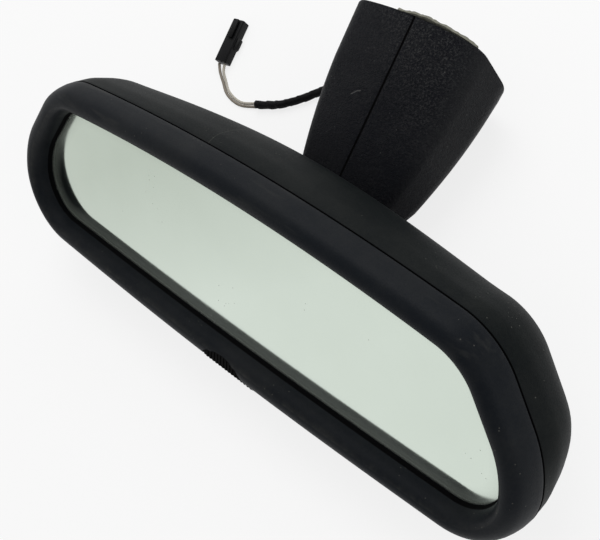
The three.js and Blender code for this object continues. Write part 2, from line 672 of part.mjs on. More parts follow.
// Torn tape left along the front edge of the cover's end, over the right half
function makeTape() {
  const frontY = screenEdge.clone().applyMatrix4(toScreen).y;
  const halfWidth = coverHalfWidth(cover.seamLength);
  const edge = (share, offset) => {
    const across = tape.startShare + (tape.endShare - tape.startShare) * share;
    const bow = tape.bow * (across / tape.bendShare) ** 2;
    return new THREE.Vector2(across * halfWidth, frontY + bow + offset * foot.front);
  };
  const outer = tapeEdgeShares.map(([share, near]) => edge(share, near));
  const inner = tapeEdgeShares.map(([share, , far]) => edge(share, far)).reverse();
  const shape = new THREE.Shape([...outer, ...inner]);
  const run = { depth: tape.thickness, bevelEnabled: false };
  return new THREE.ExtrudeGeometry(shape, run).translate(0, 0, gap);
}
addPiece(screenFrame, 'tape_rest', makeTape(), looks.tape());

// Stem: ball, neck, bent rod and the flange that is screwed to the foot
function makeStem() {
  const bend = ballCentre.clone().addScaledVector(stemAlong, stemStraight);
  const flangeMiddle = flangeTop - flange.thickness / 2;
  const flangeCentre = new THREE.Vector3(0, 0, flangeMiddle).applyMatrix4(screenFrame.matrix);
  const rise = bend.distanceTo(flangeCentre) / 2;
  const path = new THREE.CubicBezierCurve3(
    bend,
    bend.clone().addScaledVector(stemAlong, rise),
    flangeCentre.clone().addScaledVector(screenNormal, -rise),
    flangeCentre,
  );
  const circle = new THREE.Shape();
  circle.absarc(0, 0, stem.radius, 0, Math.PI * 2);
  const curveSegments = stem.sides / 2;
  const bentRun = { steps: stem.steps, bevelEnabled: false, extrudePath: path, curveSegments };
  const bent = solid(new THREE.ExtrudeGeometry(circle, bentRun));
  const neckEnd = seatOuter + gap;
  const turned = new THREE.Matrix4().makeRotationX(stem.leaveAngle).setPosition(ballCentre);
  const bar = (radius, from, to) => new THREE.CylinderGeometry(radius, radius, to - from, stem.sides * 2)
    .translate(0, (from + to) / 2, 0)
    .applyMatrix4(turned);
  const neck = bar(ball.neckRadius, 0, neckEnd + overrun);
  const straight = bar(stem.radius, neckEnd, stemStraight + gap);
  const knob = new THREE.SphereGeometry(ball.radius, ball.steps * 2, ball.steps);
  knob.applyMatrix4(turned);
  const foundation = roundPlate(-flange.halfWidth, flange.halfWidth, -flange.halfLength, flange.halfLength,
    flange.cornerRadius, flangeUnder, flangeTop);
  const holes = screwHoles(screwHole, flangeUnder - overrun, flangeTop + overrun)
    .map((hole) => solid(geometryOf(hole).applyMatrix4(screenFrame.matrix)));
  const headRoom = screwHoles(screw.headRadius + screw.clearance, flangeUnder - foot.bossHeight, flangeUnder)
    .map((hole) => solid(geometryOf(hole).applyMatrix4(screenFrame.matrix)));
  const arm = join(bent, solid(neck), solid(straight), solid(knob));
  const trimmed = cut(arm, solid(box(-stem.radius * 2, stem.radius * 2, -stem.radius * 2, stem.radius * 2,
    flangeTop, flangeTop + stem.radius * 2).applyMatrix4(screenFrame.matrix)));
  const whole = join(trimmed, solid(foundation.applyMatrix4(screenFrame.matrix)));
  return cut(whole, ...holes, ...headRoom);
}
addPiece(mountGroup, 'stem_arm', geometryOf(makeStem()), looks.zinc());

// Cover: one hollow body, cut at the windscreen, bored for the stem and split along the seam
const coverSection = roundedLoop(mirroredCorners(coverSectionShares), () => 0);
function coverRing(along, size, inset) {
  const halfWidth = coverHalfWidth(along);
  const thickness = coverThickness(along);
  return coverSection.map((p) => {
    const fromMiddle = p.y / coverSectionShare - 0.5;
    const back = thickness / 2 + fromMiddle * (thickness * size - inset * 2);
    return coverPoint(along, back, p.x * (halfWidth * size - inset));
  });
}

function coverBody(inset) {
  const nose = coverNoseShares.map(([place, size]) =>
    coverRing(-(cover.noseLength - inset) * place, size, inset));
  const taper = coverTaperShares.map((share) => coverRing(cover.taperLength * share, 1, inset));
  const body = [...taper, coverRing(cover.tailLength, 1, inset)];
  const across = (p) => {
    const from = p.clone().sub(seamStart);
    return new THREE.Vector2(p.x, from.dot(backwards));
  };
  return solid(loft([...nose, ...body], false, across));
}

const grommetCentre = coverPoint(grommet.along, grommet.back);
function coverWallX() {
  const halfWidth = coverHalfWidth(grommet.along);
  const thickness = coverThickness(grommet.along);
  const [, , [sideAcross, sideBack], [rearAcross, rearBack]] = coverSectionShares;
  const share = ((grommet.back / thickness) * coverSectionShare - sideBack) / (rearBack - sideBack);
  return halfWidth * (sideAcross + (rearAcross - sideAcross) * share);
}
const wallX = coverWallX();

function makeCover() {
  const far = cover.tailLength * 2;
  const beyond = box(-far, far, -far, far, 0, far).applyMatrix4(screenFrame.matrix);
  const boreRadius = stem.radius + cover.stemClearance;
  const bore = new THREE.CylinderGeometry(boreRadius, boreRadius, stemStraight, stem.sides * 2);
  const turned = new THREE.Matrix4().makeRotationX(stem.leaveAngle).setPosition(ballCentre);
  bore.translate(0, seatOuter + stemStraight / 2, 0).applyMatrix4(turned);
  const cableHole = barX(grommet.radius + gap, -wallX - cover.wall, -wallX + cover.wall * 3,
    grommetCentre.y, grommetCentre.z, grommet.sides);
  return cut(coverBody(0), coverBody(cover.wall), solid(beyond), solid(bore), solid(cableHole));
}
const wholeCover = makeCover();
const farSide = cover.tailLength * 2;
for (const [word, side] of [['left', -1], ['right', 1]]) {
  const x0 = side < 0 ? -farSide : cover.halfSeam;
  const x1 = side < 0 ? -cover.halfSeam : farSide;
  const half = wholeCover.intersect(solid(box(x0, x1, -farSide, farSide, -farSide, farSide)));
  addPiece(mountGroup, `cover_${word}`, geometryOf(half), looks.cover());
}

// Grommet through the left cover, and the terminal block that the lead ends at inside
function makeGrommet() {
  const inner = -wallX + cover.wall * 2;
  const outer = -wallX - grommet.flange;
  const body = barX(grommet.radius, outer, inner, grommetCentre.y, grommetCentre.z, grommet.sides);
  return geometryOf(solid(body));
}
addPiece(mountGroup, 'cable_grommet', makeGrommet(), looks.rubber());
const terminalBox = box(terminal.offsetX - terminal.halfWidth, terminal.offsetX + terminal.halfWidth,
  -terminal.length / 2, terminal.length / 2, footUnder - gap - terminal.height, footUnder - gap);
addPiece(screenFrame, 'lead_terminal', terminalBox, looks.nylon());

// Laid down: the angle at which head and cover reach the table together
function lowest(group, angle) {
  let low = Infinity;
  group.updateMatrixWorld(true);
  group.traverse((mesh) => {
    if (!mesh.isMesh) return;
    const places = mesh.geometry.attributes.position;
    for (let i = 0; i < places.count; i += 1) {
      const p = new THREE.Vector3().fromBufferAttribute(places, i).applyMatrix4(mesh.matrixWorld);
      low = Math.min(low, p.z * Math.cos(angle) - p.y * Math.sin(angle));
    }
  });
  return low;
}

function lieAngle() {
  let [low, high] = [0, Math.PI / 2];
  for (let k = 0; k < 40; k += 1) {
    const middle = (low + high) / 2;
    if (lowest(headGroup, middle) < lowest(mountGroup, middle)) low = middle;
    else high = middle;
  }
  return (low + high) / 2;
}

const angle = lieAngle();
const laid = new THREE.Group();
laid.add(headGroup, mountGroup);
laid.rotation.x = -angle;
laid.updateMatrixWorld(true);
const extent = new THREE.Box3().setFromObject(laid, true);
const middle = extent.getCenter(new THREE.Vector3());
laid.position.set(-middle.x, -middle.y, -extent.min.z);
laid.updateMatrixWorld(true);

// Lead: tubes on the table
function tube(points, radius, sides, steps) {
  const circle = new THREE.Shape();
  circle.absarc(0, 0, radius, 0, Math.PI * 2);
  const path = new THREE.CatmullRomCurve3(points.map((p) => new THREE.Vector3(...p)));
  const run = { steps, bevelEnabled: false, extrudePath: path, curveSegments: sides / 2 };
  return new THREE.ExtrudeGeometry(circle, run);
}
const exit = new THREE.Vector3(-wallX - grommet.flange - gap, grommetCentre.y, grommetCentre.z)
  .applyMatrix4(laid.matrixWorld);
const leadStart = exit.clone().setX(exit.x - leadOut);
addPiece(leadGroup, 'cable_sleeve', tube([exit.toArray(), leadStart.toArray(), ...sleeveRoute],
  sleeve.radius, sleeve.sides, sleeve.steps), looks.clothTape());
addPiece(leadGroup, 'wire_a', tube(wireRouteA, wire.radius, wire.sides, wire.steps), looks.greyWire());
addPiece(leadGroup, 'wire_b', tube(wireRouteB, wire.radius, wire.sides, wire.steps), looks.paleWire());

// Connector, lying flat: y along it from the wires to its mouth
const plug = new THREE.Group();
plug.position.set(connectorPlace.x, connectorPlace.y, 0);
plug.rotation.z = connectorPlace.turn;
leadGroup.add(plug);

function makeConnector() {
  const { length, halfWidth, height } = connector;
  const chamfer = halfWidth * connector.chamferShare;
  const shape = new THREE.Shape([
    new THREE.Vector2(-halfWidth + chamfer, 0), new THREE.Vector2(halfWidth - chamfer, 0),
    new THREE.Vector2(halfWidth, chamfer), new THREE.Vector2(halfWidth, height - chamfer),
    new THREE.Vector2(halfWidth - chamfer, height), new THREE.Vector2(-halfWidth + chamfer, height),
    new THREE.Vector2(-halfWidth, height - chamfer), new THREE.Vector2(-halfWidth, chamfer),
  ]);
  const body = new THREE.ExtrudeGeometry(shape, { depth: length, bevelEnabled: false });
  body.rotateX(Math.PI / 2).translate(0, length, 0);
  const cavities = [-1, 1].map((side) => {
    const x = (side * connector.cavityPitch) / 2;
    const under = (height - connector.cavityHeight) / 2;
    const mouth = length + overrun;
    return solid(box(x - connector.cavityHalfWidth, x + connector.cavityHalfWidth,
      length - connector.cavityDepth, mouth, under, under + connector.cavityHeight));
  });
  return cut(solid(body), ...cavities);
}
addPiece(plug, 'connector_body', geometryOf(makeConnector()), looks.connector());
const latchFront = connector.length - connector.latchLength - gap;
addPiece(plug, 'connector_latch', box(-connector.latchHalfWidth, connector.latchHalfWidth,
  latchFront, latchFront + connector.latchLength,
  connector.height + gap, connector.height + gap + connector.latchHeight), looks.connector());
for (const [word, side] of [['a', -1], ['b', 1]]) {
  const x = (side * connector.cavityPitch) / 2;
  const under = (connector.height - contact.height) / 2;
  const back = connector.length - connector.cavityDepth + gap;
  addPiece(plug, `contact_${word}`, box(x - contact.halfWidth, x + contact.halfWidth,
    back, back + contact.length, under, under + contact.height), looks.steel());
}

const mirror = new THREE.Group();
mirror.add(laid, leadGroup);
export default mirror;
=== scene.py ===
# %% [markdown]
# # An interior rearview mirror, lying on its back
# The packed solids are the frame that everything here is fitted to. Each has its place in its own mesh,
# in metres, with the table at z = 0. A new piece is made in the same place and takes a solid's part.

# %% Load the solids
import math
import bmesh
import bpy
from mathutils import Matrix, Vector, noise
from mathutils.kdtree import KDTree


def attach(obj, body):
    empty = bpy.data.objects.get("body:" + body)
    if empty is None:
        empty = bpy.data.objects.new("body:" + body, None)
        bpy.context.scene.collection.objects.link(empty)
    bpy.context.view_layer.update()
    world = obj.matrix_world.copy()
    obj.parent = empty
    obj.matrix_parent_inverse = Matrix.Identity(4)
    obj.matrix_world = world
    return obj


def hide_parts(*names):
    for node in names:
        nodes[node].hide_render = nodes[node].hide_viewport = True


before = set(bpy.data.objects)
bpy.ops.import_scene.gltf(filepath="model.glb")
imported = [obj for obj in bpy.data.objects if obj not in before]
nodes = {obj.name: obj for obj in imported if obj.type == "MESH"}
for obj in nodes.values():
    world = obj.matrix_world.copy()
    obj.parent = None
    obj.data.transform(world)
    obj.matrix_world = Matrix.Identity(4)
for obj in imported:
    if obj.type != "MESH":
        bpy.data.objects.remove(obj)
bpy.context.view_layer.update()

MM = 0.001
print("solids:", len(nodes))

# %% [markdown]
# ## The camera
# The photograph looks down on the mirror from its right. The place and the turn of the camera were
# worked out from the straight and round edges of the glass, the seam and the cover, so they are given
# as they are: where it stands, which way is right, and which way is up in its picture.

# %% Camera
CAMERA_PLACE = Vector((0.216016, -0.024098, 0.333365))
PICTURE_RIGHT = Vector((0.6946, 0.5395, -0.4759)).normalized()
LOOKING = Vector((-0.56227, -0.00557, -0.82694)).normalized()
SENSOR = 36
FOCAL_PIXELS, PICTURE_PIXELS = 1057, 600
LENS = SENSOR * FOCAL_PIXELS / PICTURE_PIXELS

bpy.ops.object.camera_add(location=CAMERA_PLACE)
camera = bpy.context.object
camera.name = "camera"
picture_up = PICTURE_RIGHT.cross(LOOKING).normalized()
picture_right = LOOKING.cross(picture_up).normalized()
turned = Matrix((picture_right, picture_up, -LOOKING)).transposed()
camera.matrix_world = Matrix.Translation(CAMERA_PLACE) @ turned.to_4x4()
camera.data.sensor_width = SENSOR
camera.data.lens = LENS
camera.data.clip_start = 0.01
bpy.context.scene.camera = camera
print("lens:", round(LENS, 1), "mm")

# %% [markdown]
# ## Writing finishes
# A finish is a small chain of nodes. Sums of values are easier to read as sums, so one class wraps a
# socket and turns each operator into a Math node.

# %% A value that can be written in sums
class Value:
    def __init__(self, finish, socket):
        self.finish = finish
        self.socket = socket

    def math(self, operation, *others):
        return self.finish.node("ShaderNodeMath", {"operation": operation}, *others)

    def __add__(self, other): return self.math("ADD", self, other)
    def __radd__(self, other): return self.math("ADD", other, self)
    def __sub__(self, other): return self.math("SUBTRACT", self, other)
    def __rsub__(self, other): return self.math("SUBTRACT", other, self)
    def __mul__(self, other): return self.math("MULTIPLY", self, other)
    def __truediv__(self, other): return self.math("DIVIDE", self, other)
    def __gt__(self, other): return self.math("GREATER_THAN", self, other)
    def __lt__(self, other): return self.math("LESS_THAN", self, other)
    def size(self): return self.math("ABSOLUTE", self)
    def root(self): return self.math("SQRT", self)
    def capped(self): return self.math("MINIMUM", self.math("MAXIMUM", self, 0.0), 1.0)


print("a value's own sums:", [name for name in vars(Value) if name[0] != "_"])

# %% [markdown]
# A second class holds the material. Every other node comes from one method, which is given the node's
# type, its settings and what goes into its sockets. The nodes used often have a short method each.

# %% A finish as a chain of nodes
class Finish:
    def __init__(self, name):
        self.material = bpy.data.materials.new(name)
        self.material.use_nodes = True
        self.tree = self.material.node_tree
        self.shader = self.tree.nodes["Principled BSDF"]

    def put(self, socket, value):
        if isinstance(value, Value):
            self.tree.links.new(value.socket, socket)
        elif value is not None:
            socket.default_value = value

    def node(self, kind, settings=None, *values, out=0, **named):
        made = self.tree.nodes.new(kind)
        for key, setting in (settings or {}).items():
            if key == "stops":
                ramp = made.color_ramp
                while len(ramp.elements) < len(setting):
                    ramp.elements.new(0.5)
                for element, (place, shade) in zip(ramp.elements, setting):
                    element.position = place
                    element.color = (shade, shade, shade, 1)
            else:
                setattr(made, key, setting)
        for socket, value in zip(made.inputs, values):
            self.put(socket, value)
        for key, value in named.items():
            self.put(made.inputs[key.replace("_", " ")], value)
        return Value(self, made.outputs[out])

    def place(self, move=(0, 0, 0), turn=(0, 0, 0), stretch=(1, 1, 1)):
        here = self.node("ShaderNodeTexCoord", out=3)
        return self.node("ShaderNodeMapping", {"vector_type": "POINT"}, here, move, turn, stretch)

    def parts(self, vector):
        split = self.node("ShaderNodeSeparateXYZ", None, vector)
        return [Value(self, socket) for socket in split.socket.node.outputs]

    def noise(self, place, scale, detail=2.0, roughness=0.5):
        return self.node("ShaderNodeTexNoise", None, Vector=place, Scale=scale, Detail=detail,
                         Roughness=roughness)

    def ramp(self, value, *stops):
        return self.node("ShaderNodeValToRGB", {"stops": stops}, value)

    def blend(self, share, first, second):
        mix = self.tree.nodes.new("ShaderNodeMix")
        mix.data_type = "RGBA"
        self.put(mix.inputs[0], share)
        self.put(mix.inputs[6], first)
        self.put(mix.inputs[7], second)
        return Value(self, mix.outputs[2])

    def bump(self, height, distance):
        return self.node("ShaderNodeBump", None, Height=height, Distance=distance, Strength=1.0)

    def surface(self, **sockets):
        for key, value in sockets.items():
            self.put(self.shader.inputs[key.replace("_", " ")], value)
        print(self.material.name, "nodes:", len(self.tree.nodes))
        return self.material


print("a finish can add:", [name for name in vars(Finish) if name[0] != "_"])

# %% Colours
def tint(red, green, blue):
    # a colour as a screen shows it, from 0 to 255, as the light it stands for
    def light(level):
        share = level / 255
        return share / 12.92 if share <= 0.04045 else ((share + 0.055) / 1.055) ** 2.4
    return (light(red), light(green), light(blue), 1)


print("middle grey as light:", round(tint(128, 128, 128)[0], 3))

# %% [markdown]
# ## The head's own frame
# The glass is drawn flat, with x to the right, y into the head and z up, and the finished head is then
# laid on its back. One matrix does that for every piece, so no piece is fitted twice.

# %% Laying a piece down
LIE_TURN = math.radians(-45.97042795912331)
LIE_MOVE = Vector((0, -38.257308828, 45.469715129)) * MM
laid = Matrix.Translation(LIE_MOVE) @ Matrix.Rotation(LIE_TURN, 4, "X")


def lay_down(piece):
    piece.data.transform(piece.matrix_world)
    piece.matrix_world = Matrix.Identity(4)
    piece.data.transform(laid)
    piece.data.update()


print("turned back by", round(-math.degrees(LIE_TURN), 1), "degrees")

# %% [markdown]
# ## Dressing a piece
# A finished piece gets its material, smooth shading up to an angle, the body that it rides on, and the
# solids that it stands for. Operators work on what is selected, so that comes first.

# %% Dressing a piece
def clear_selection():
    if bpy.context.object and bpy.context.object.mode != "OBJECT":
        bpy.ops.object.mode_set(mode="OBJECT")
    bpy.ops.object.select_all(action="DESELECT")


def select_only(piece):
    clear_selection()
    piece.select_set(True)
    bpy.context.view_layer.objects.active = piece


def dress(piece, body, material, slot, *replaced, smooth=30):
    piece.data.materials.clear()
    piece.data.materials.append(material)
    select_only(piece)
    bpy.ops.object.shade_smooth_by_angle(angle=math.radians(smooth))
    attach(piece, body)
    if replaced:
        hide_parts(*replaced)
    print(piece.name, "faces:", len(piece.data.polygons))
    return piece

# %% [markdown]
# ## Black satin plastic
# Frame, shell and cover are moulded in black with a fine spark-eroded grain. Dust settles on it, and it
# is scuffed in a few places. The grain is bump and a little roughness, the dust a paler colour in
# patches, and the specks are single grains, found as the middles of a fine Voronoi pattern. Painted
# highlights are blended towards the same pale colour, and painted shade darkens gaps towards
# near-black.

# %% Grained plastic
GRAIN, COARSER = 2200, 2.6
PATCHES, SPECKS, SPECK_GROUPS = 38.0, 460.0, 61.0
SPECK_RADIUS, SPECK_SHARE = 0.09, 0.3
PAINTED_SHADE_BLACK = tint(3, 3, 4)


def satin_plastic(name, colour, dust, dust_share, grain_depth, roughness, sparkle=0.0, extra=None,
                  painted_shade=None, scale=GRAIN, level=0.09):
    finish = Finish(name)
    here = finish.place()
    grain = finish.noise(here, scale, 1.0)
    coarse = finish.noise(here, scale / COARSER, 2.0)
    patches = finish.noise(here, PATCHES, 4.0, 0.62)
    dusty = finish.ramp(patches, (0.42, 0.0), (0.72, 1.0)) * dust_share
    cells = finish.node("ShaderNodeTexVoronoi", {"feature": "F1"}, Vector=here, Scale=SPECKS)
    in_group = finish.noise(here, SPECK_GROUPS, 1.0) > 0.57
    specks = (cells < SPECK_RADIUS) * in_group * SPECK_SHARE
    shade = (dusty + specks + (coarse - 0.5) * sparkle).capped()
    if extra:
        shade = (shade + extra(finish)).capped()
    dull = roughness + dusty * 0.25 + (grain - 0.5) * 0.22
    height = grain * 0.6 + coarse * 0.4
    # the pale colour is real dust, and also painted highlights and glints where the extras add them
    shown = finish.blend(shade, colour, dust)
    # painted shade: gaps, seams and insides are blended towards near-black
    if painted_shade:
        painted_shade_share = painted_shade(finish)
        shown = finish.blend(painted_shade_share, shown, PAINTED_SHADE_BLACK)
        dull = dull + painted_shade_share * 0.5
    return finish.surface(
        Base_Color=shown,
        Roughness=dull.capped(),
        Specular_IOR_Level=level,
        Normal=finish.bump(height, grain_depth),
    )


print("grain:", round(1 / GRAIN / MM, 2), "mm")

# %% [markdown]
# The frame's crest carries a painted highlight, its top is scuffed, and its edges at the glass and at
# the seam are painted in shade. How far a place is from an edge is read from its ring's number, which
# the skin writes down.

# %% Frame finish
HEAD_TURN = (-LIE_TURN, 0, 0)
HEAD_MOVE = tuple(Matrix.Rotation(-LIE_TURN, 3, "X") @ -LIE_MOVE)
LIP_RINGS, CREST_RING, FRAME_SEAM_RING = 4.7, 15.5, 34.4


def ring_number(finish):
    return finish.node("ShaderNodeAttribute", {"attribute_name": "along"}, out=2)


def frame_scuffs_and_crest_highlight(finish):
    # pale scuffs along the top of the frame, and a painted highlight along its crest
    head = finish.place(HEAD_MOVE, HEAD_TURN)
    x, y, z = finish.parts(head)
    along = finish.place(HEAD_MOVE, HEAD_TURN, (22, 160, 160))
    streaks = finish.ramp(finish.noise(along, 1.0, 3.0, 0.7), (0.56, 0.0), (0.68, 1.0))
    upper = finish.ramp(z * 20, (0.5, 0.0), (0.62, 1.0))
    ridge = finish.ramp(ring_number(finish) / CREST_RING, (0.7, 0.0), (0.95, 1.0), (1.0, 0.0))
    crest_highlight_patches = finish.ramp(finish.noise(head, 210.0, 3.0, 0.7), (0.4, 0.15), (0.7, 1.0))
    return streaks * upper * 0.05 + ridge * crest_highlight_patches * 0.1


def frame_painted_shade(finish):
    # painted shade: the frame's edge at the glass and its edge at the seam are darkened towards
    # near-black
    ring = ring_number(finish)
    return (ring < LIP_RINGS) + (ring > FRAME_SEAM_RING)


bezel_black = satin_plastic(
    "satin black frame", tint(15, 19, 24), tint(118, 116, 108), 0.035, 0.00006, 0.5, 0.03, frame_scuffs_and_crest_highlight,
    frame_painted_shade)

# %% [markdown]
# The shell has a faint curved line left by the mould on its upper side, and painted shade on its inside
# and on its edge at the seam.

# %% Shell finish
SHELL_SEAM_RING = 11.6
UPPER_SIDE = 0.02
WITNESS_ACROSS, WITNESS_INTO = 0.0055, 0.017
WITNESS_RADIUS, WITNESS_HALF_WIDTH = 0.0297, 0.00017


def shell_seam_painted_shade(finish):
    # painted shade on the shell's inside and on its edge at the seam
    return ring_number(finish) < SHELL_SEAM_RING


def shell_witness(finish):
    # a faint curved line left by the mould on the shell's upper side
    x, y, z = finish.parts(finish.place(HEAD_MOVE, HEAD_TURN))
    across, into = x - WITNESS_ACROSS, y - WITNESS_INTO
    from_middle = (across * across + into * into).root()
    on_line = (from_middle - WITNESS_RADIUS).size() < WITNESS_HALF_WIDTH
    return on_line * (x < 0) * (z > UPPER_SIDE) * 0.09


shell_black = satin_plastic(
    "satin black shell", tint(14, 18, 19), tint(118, 118, 110), 0.03, 0.00006, 0.54, 0.03,
    shell_witness, shell_seam_painted_shade, level=0.06)

# %% [markdown]
# The cover's grain is deeper. Its right half carries painted glints on the peaks of the grain near the
# windscreen and a painted lighter flank, and its left half has one short bent scratch, written as two
# strokes.

# %% Cover finish
NOSE_RINGS_FROM, NOSE_RINGS = 33, 16
SEAM_SHADE = 0.0005
# each stroke of the scratch: its slope, its y at x = 0, its half width, where it starts and ends
SCRATCH = [(0.95, 0.0471, 0.00022, -0.0113, -0.0092), (0.3, 0.0411, 0.00017, -0.0092, -0.0078)]


def cover_shade(finish):
    # less and less light gets in between the cover's nose and the head, and none into its seam
    ring = ring_number(finish)
    shade = finish.ramp((ring - NOSE_RINGS_FROM) / NOSE_RINGS, (0.0, 0.0), (0.7, 0.85))
    from_seam = finish.parts(finish.place())[0].size()
    return shade + (from_seam < SEAM_SHADE)


def stroke(x, y, slope, at_zero, half_width, start, end):
    return ((y - x * slope - at_zero).size() < half_width) * (x > start) * (x < end)


def cover_painted_light_and_scratch(finish):
    # painted glints sit on the peaks of the grain, most of them on the right half near the windscreen,
    # a painted lighter tone covers the right flank, and the left half has one short bent scratch
    here = finish.place()
    x, y, z = finish.parts(here)
    glint_peaks = finish.ramp(finish.noise(here, 1500.0, 2.0), (0.5, 0.0), (0.66, 1.0))
    painted_glint_end = finish.ramp(x * 15 + y * 16, (0.66, 0.1), (1.1, 1.0))
    painted_lit_flank = finish.ramp(x * 20, (0.36, 0.0), (0.58, 1.0))
    first, second = [stroke(x, y, *sizes) for sizes in SCRATCH]
    scratch = (first + second) * (z > UPPER_SIDE)
    return glint_peaks * painted_glint_end * (1 - painted_lit_flank) * 0.14 + painted_lit_flank * painted_lit_flank * 0.075 + scratch * 0.5


cover_black = satin_plastic(
    "grained black cover", tint(7, 9, 16), tint(120, 120, 118), 0.03, 0.0009, 0.44, 0.16,
    cover_painted_light_and_scratch, cover_shade, scale=2900, level=0.085)

# %% [markdown]
# ## Glass
# The glass is a silvered wedge. It shows the white room a little green and darker than it is, with a
# painted reflection that makes it brighter towards its bottom and its right, and its haze and the dust
# wiped into streaks make it less than perfect.

# %% Glass finish
GLASS_RINGS = 8
# the darker and the brighter tone of the silver; blending towards the brighter one is a painted
# reflection
GLASS_DARK, GLASS_BRIGHT = tint(181, 191, 179), tint(209, 219, 209)
GLASS_DUST = (0.25, 0.27, 0.24, 1)


def silvered_glass():
    finish = Finish("silvered glass")
    head = finish.place(HEAD_MOVE, HEAD_TURN)
    x, y, z = finish.parts(head)
    edge = finish.ramp(ring_number(finish) / GLASS_RINGS, (0.2, 0.0), (0.8, 1.0))
    haze = finish.ramp(finish.noise(head, 24.0, 3.0, 0.55), (0.35, 0.0), (0.75, 1.0))
    wiped = finish.place(HEAD_MOVE, (-LIE_TURN, 0, 0.35), (60, 60, 420))
    streaks = finish.ramp(finish.noise(wiped, 1.0, 3.0, 0.65), (0.55, 0.0), (0.8, 1.0))
    cells = finish.node("ShaderNodeTexVoronoi", {"feature": "F1"}, Vector=head, Scale=420.0)
    dust = (cells < 0.11) * (finish.noise(head, 55.0, 1.0) > 0.64)
    # painted reflection: the silver is brighter towards the bottom of the glass and towards its right
    low = finish.ramp((z * -1 + 0.02) * 20, (0.1, 0.0), (1.0, 1.0))
    painted_lit_lower_right = finish.ramp((x - z * 1.3 + 0.085) * 9, (0.0, 0.0), (0.9, 1.0))
    haze_and_painted_reflection = finish.blend(haze * 0.12 + low * 0.08 + painted_lit_lower_right * 0.8, GLASS_DARK, GLASS_BRIGHT)
    colour = finish.blend(dust * 0.35, haze_and_painted_reflection, GLASS_DUST)
    return finish.surface(
        Base_Color=colour,
        Metallic=1 - edge * 0.24,
        Roughness=(0.05 + haze * 0.03 + streaks * 0.03 + dust * 0.3 + edge * 0.12).capped(),
    )


mirror_silver = silvered_glass()

# %% [markdown]
# ## Metal, tape, rubber and the hidden plastics
# These are finished plainly, from two near colours, with some unevenness of their own.

# %% Plain finishes
def plain(name, colour, second, roughness, metallic=0.0, scale=160.0, depth=0.00003, level=0.3):
    finish = Finish(name)
    here = finish.place()
    cloud = finish.noise(here, scale, 4.0, 0.6)
    fine = finish.noise(here, scale * 9, 1.0)
    return finish.surface(
        Base_Color=finish.blend(cloud, colour, second),
        Roughness=(roughness + (cloud - 0.5) * 0.3).capped(),
        Metallic=metallic,
        Specular_IOR_Level=level,
        Normal=finish.bump(fine, depth),
    )


inner_black = plain("inner plastic", tint(24, 25, 26), tint(36, 37, 38), 0.6, level=0.15)
lever_black = plain("lever plastic", tint(12, 12, 14), tint(20, 20, 22), 0.5, level=0.12)
# painted shade: the web in the finger recess is near-black, as the deep recess lies in shadow
recess_painted_shade_black = plain("recess plastic in painted shade", tint(3, 3, 3), tint(7, 7, 7), 0.6, level=0.03)
foam_black = plain("black foam", tint(16, 16, 16), tint(28, 28, 27), 0.95, 0.0, 900.0, 0.0002, 0.1)
natural_nylon = plain("natural nylon", tint(206, 200, 184), tint(220, 216, 204), 0.45)
plated_steel = plain("plated steel", tint(150, 152, 154), tint(176, 177, 176), 0.32, 1.0)
cast_zinc = plain("cast zinc", tint(96, 98, 100), tint(122, 123, 123), 0.5, 0.9, 300.0, 0.00008)
grey_adhesive = plain(
    "grey foam adhesive", tint(118, 118, 108), tint(150, 149, 136), 0.9, 0.0, 700.0, 0.0002)
cloth_tape_black = plain(
    "black cloth tape", tint(6, 6, 8), tint(24, 24, 26), 0.62, 0.0, 420.0, 0.0002, 0.1)
black_rubber = plain("black rubber", tint(10, 10, 10), tint(20, 20, 20), 0.75, level=0.1)
connector_black = plain("connector plastic", tint(8, 8, 9), tint(16, 16, 18), 0.42, level=0.14)
grey_sleeving = plain("grey wire sleeving", tint(124, 115, 104), tint(150, 142, 130), 0.55, 0.0, 500.0)
pale_sleeving = plain("pale wire sleeving", tint(176, 170, 156), tint(200, 195, 184), 0.55, 0.0, 500.0)

# %% Finishes on the solids
NODE_FINISHES = {
    "bezel": bezel_black, "rear_shell": shell_black, "stem_collar": shell_black,
    "mirror_glass": mirror_silver, "glass_pad": foam_black, "backing_plate": inner_black,
    "pivot_carrier": inner_black, "ball_liner": natural_nylon, "ball_cup": plated_steel,
    "pivot_pin_left": plated_steel, "pivot_pin_right": plated_steel, "toggle_spring": plated_steel,
    "dip_lever": lever_black, "lever_pin": plated_steel, "windscreen_foot": cast_zinc,
    "clamp_plate": plated_steel, "foot_screw_left": plated_steel, "foot_screw_right": plated_steel,
    "adhesive_pad": grey_adhesive, "tape_rest": grey_adhesive, "lead_terminal": natural_nylon,
    "stem_arm": cast_zinc, "cover_left": cover_black, "cover_right": cover_black,
    "cable_grommet": black_rubber, "cable_sleeve": black_rubber, "wire_a": grey_sleeving,
    "wire_b": pale_sleeving, "connector_body": connector_black, "connector_latch": connector_black,
    "contact_a": plated_steel, "contact_b": plated_steel,
}
for name, material in NODE_FINISHES.items():
    nodes[name].data.materials.clear()
    nodes[name].data.materials.append(material)
print("solids with a finish:", len(NODE_FINISHES))

# %% [markdown]
# ## Skins from rings
# Frame, shell, cover and lead are all a closed outline carried through space. By hand that is a circle
# whose edge is extruded again and again, each new edge being moved to its place. The helper does just
# that: it starts from a circle primitive, extrudes the selected edge, and puts each new vertex where
# its ring has it. It also writes down each vertex's ring, for the finishes.

# %% A skin carried through rings
TOUCHING = 0.000002


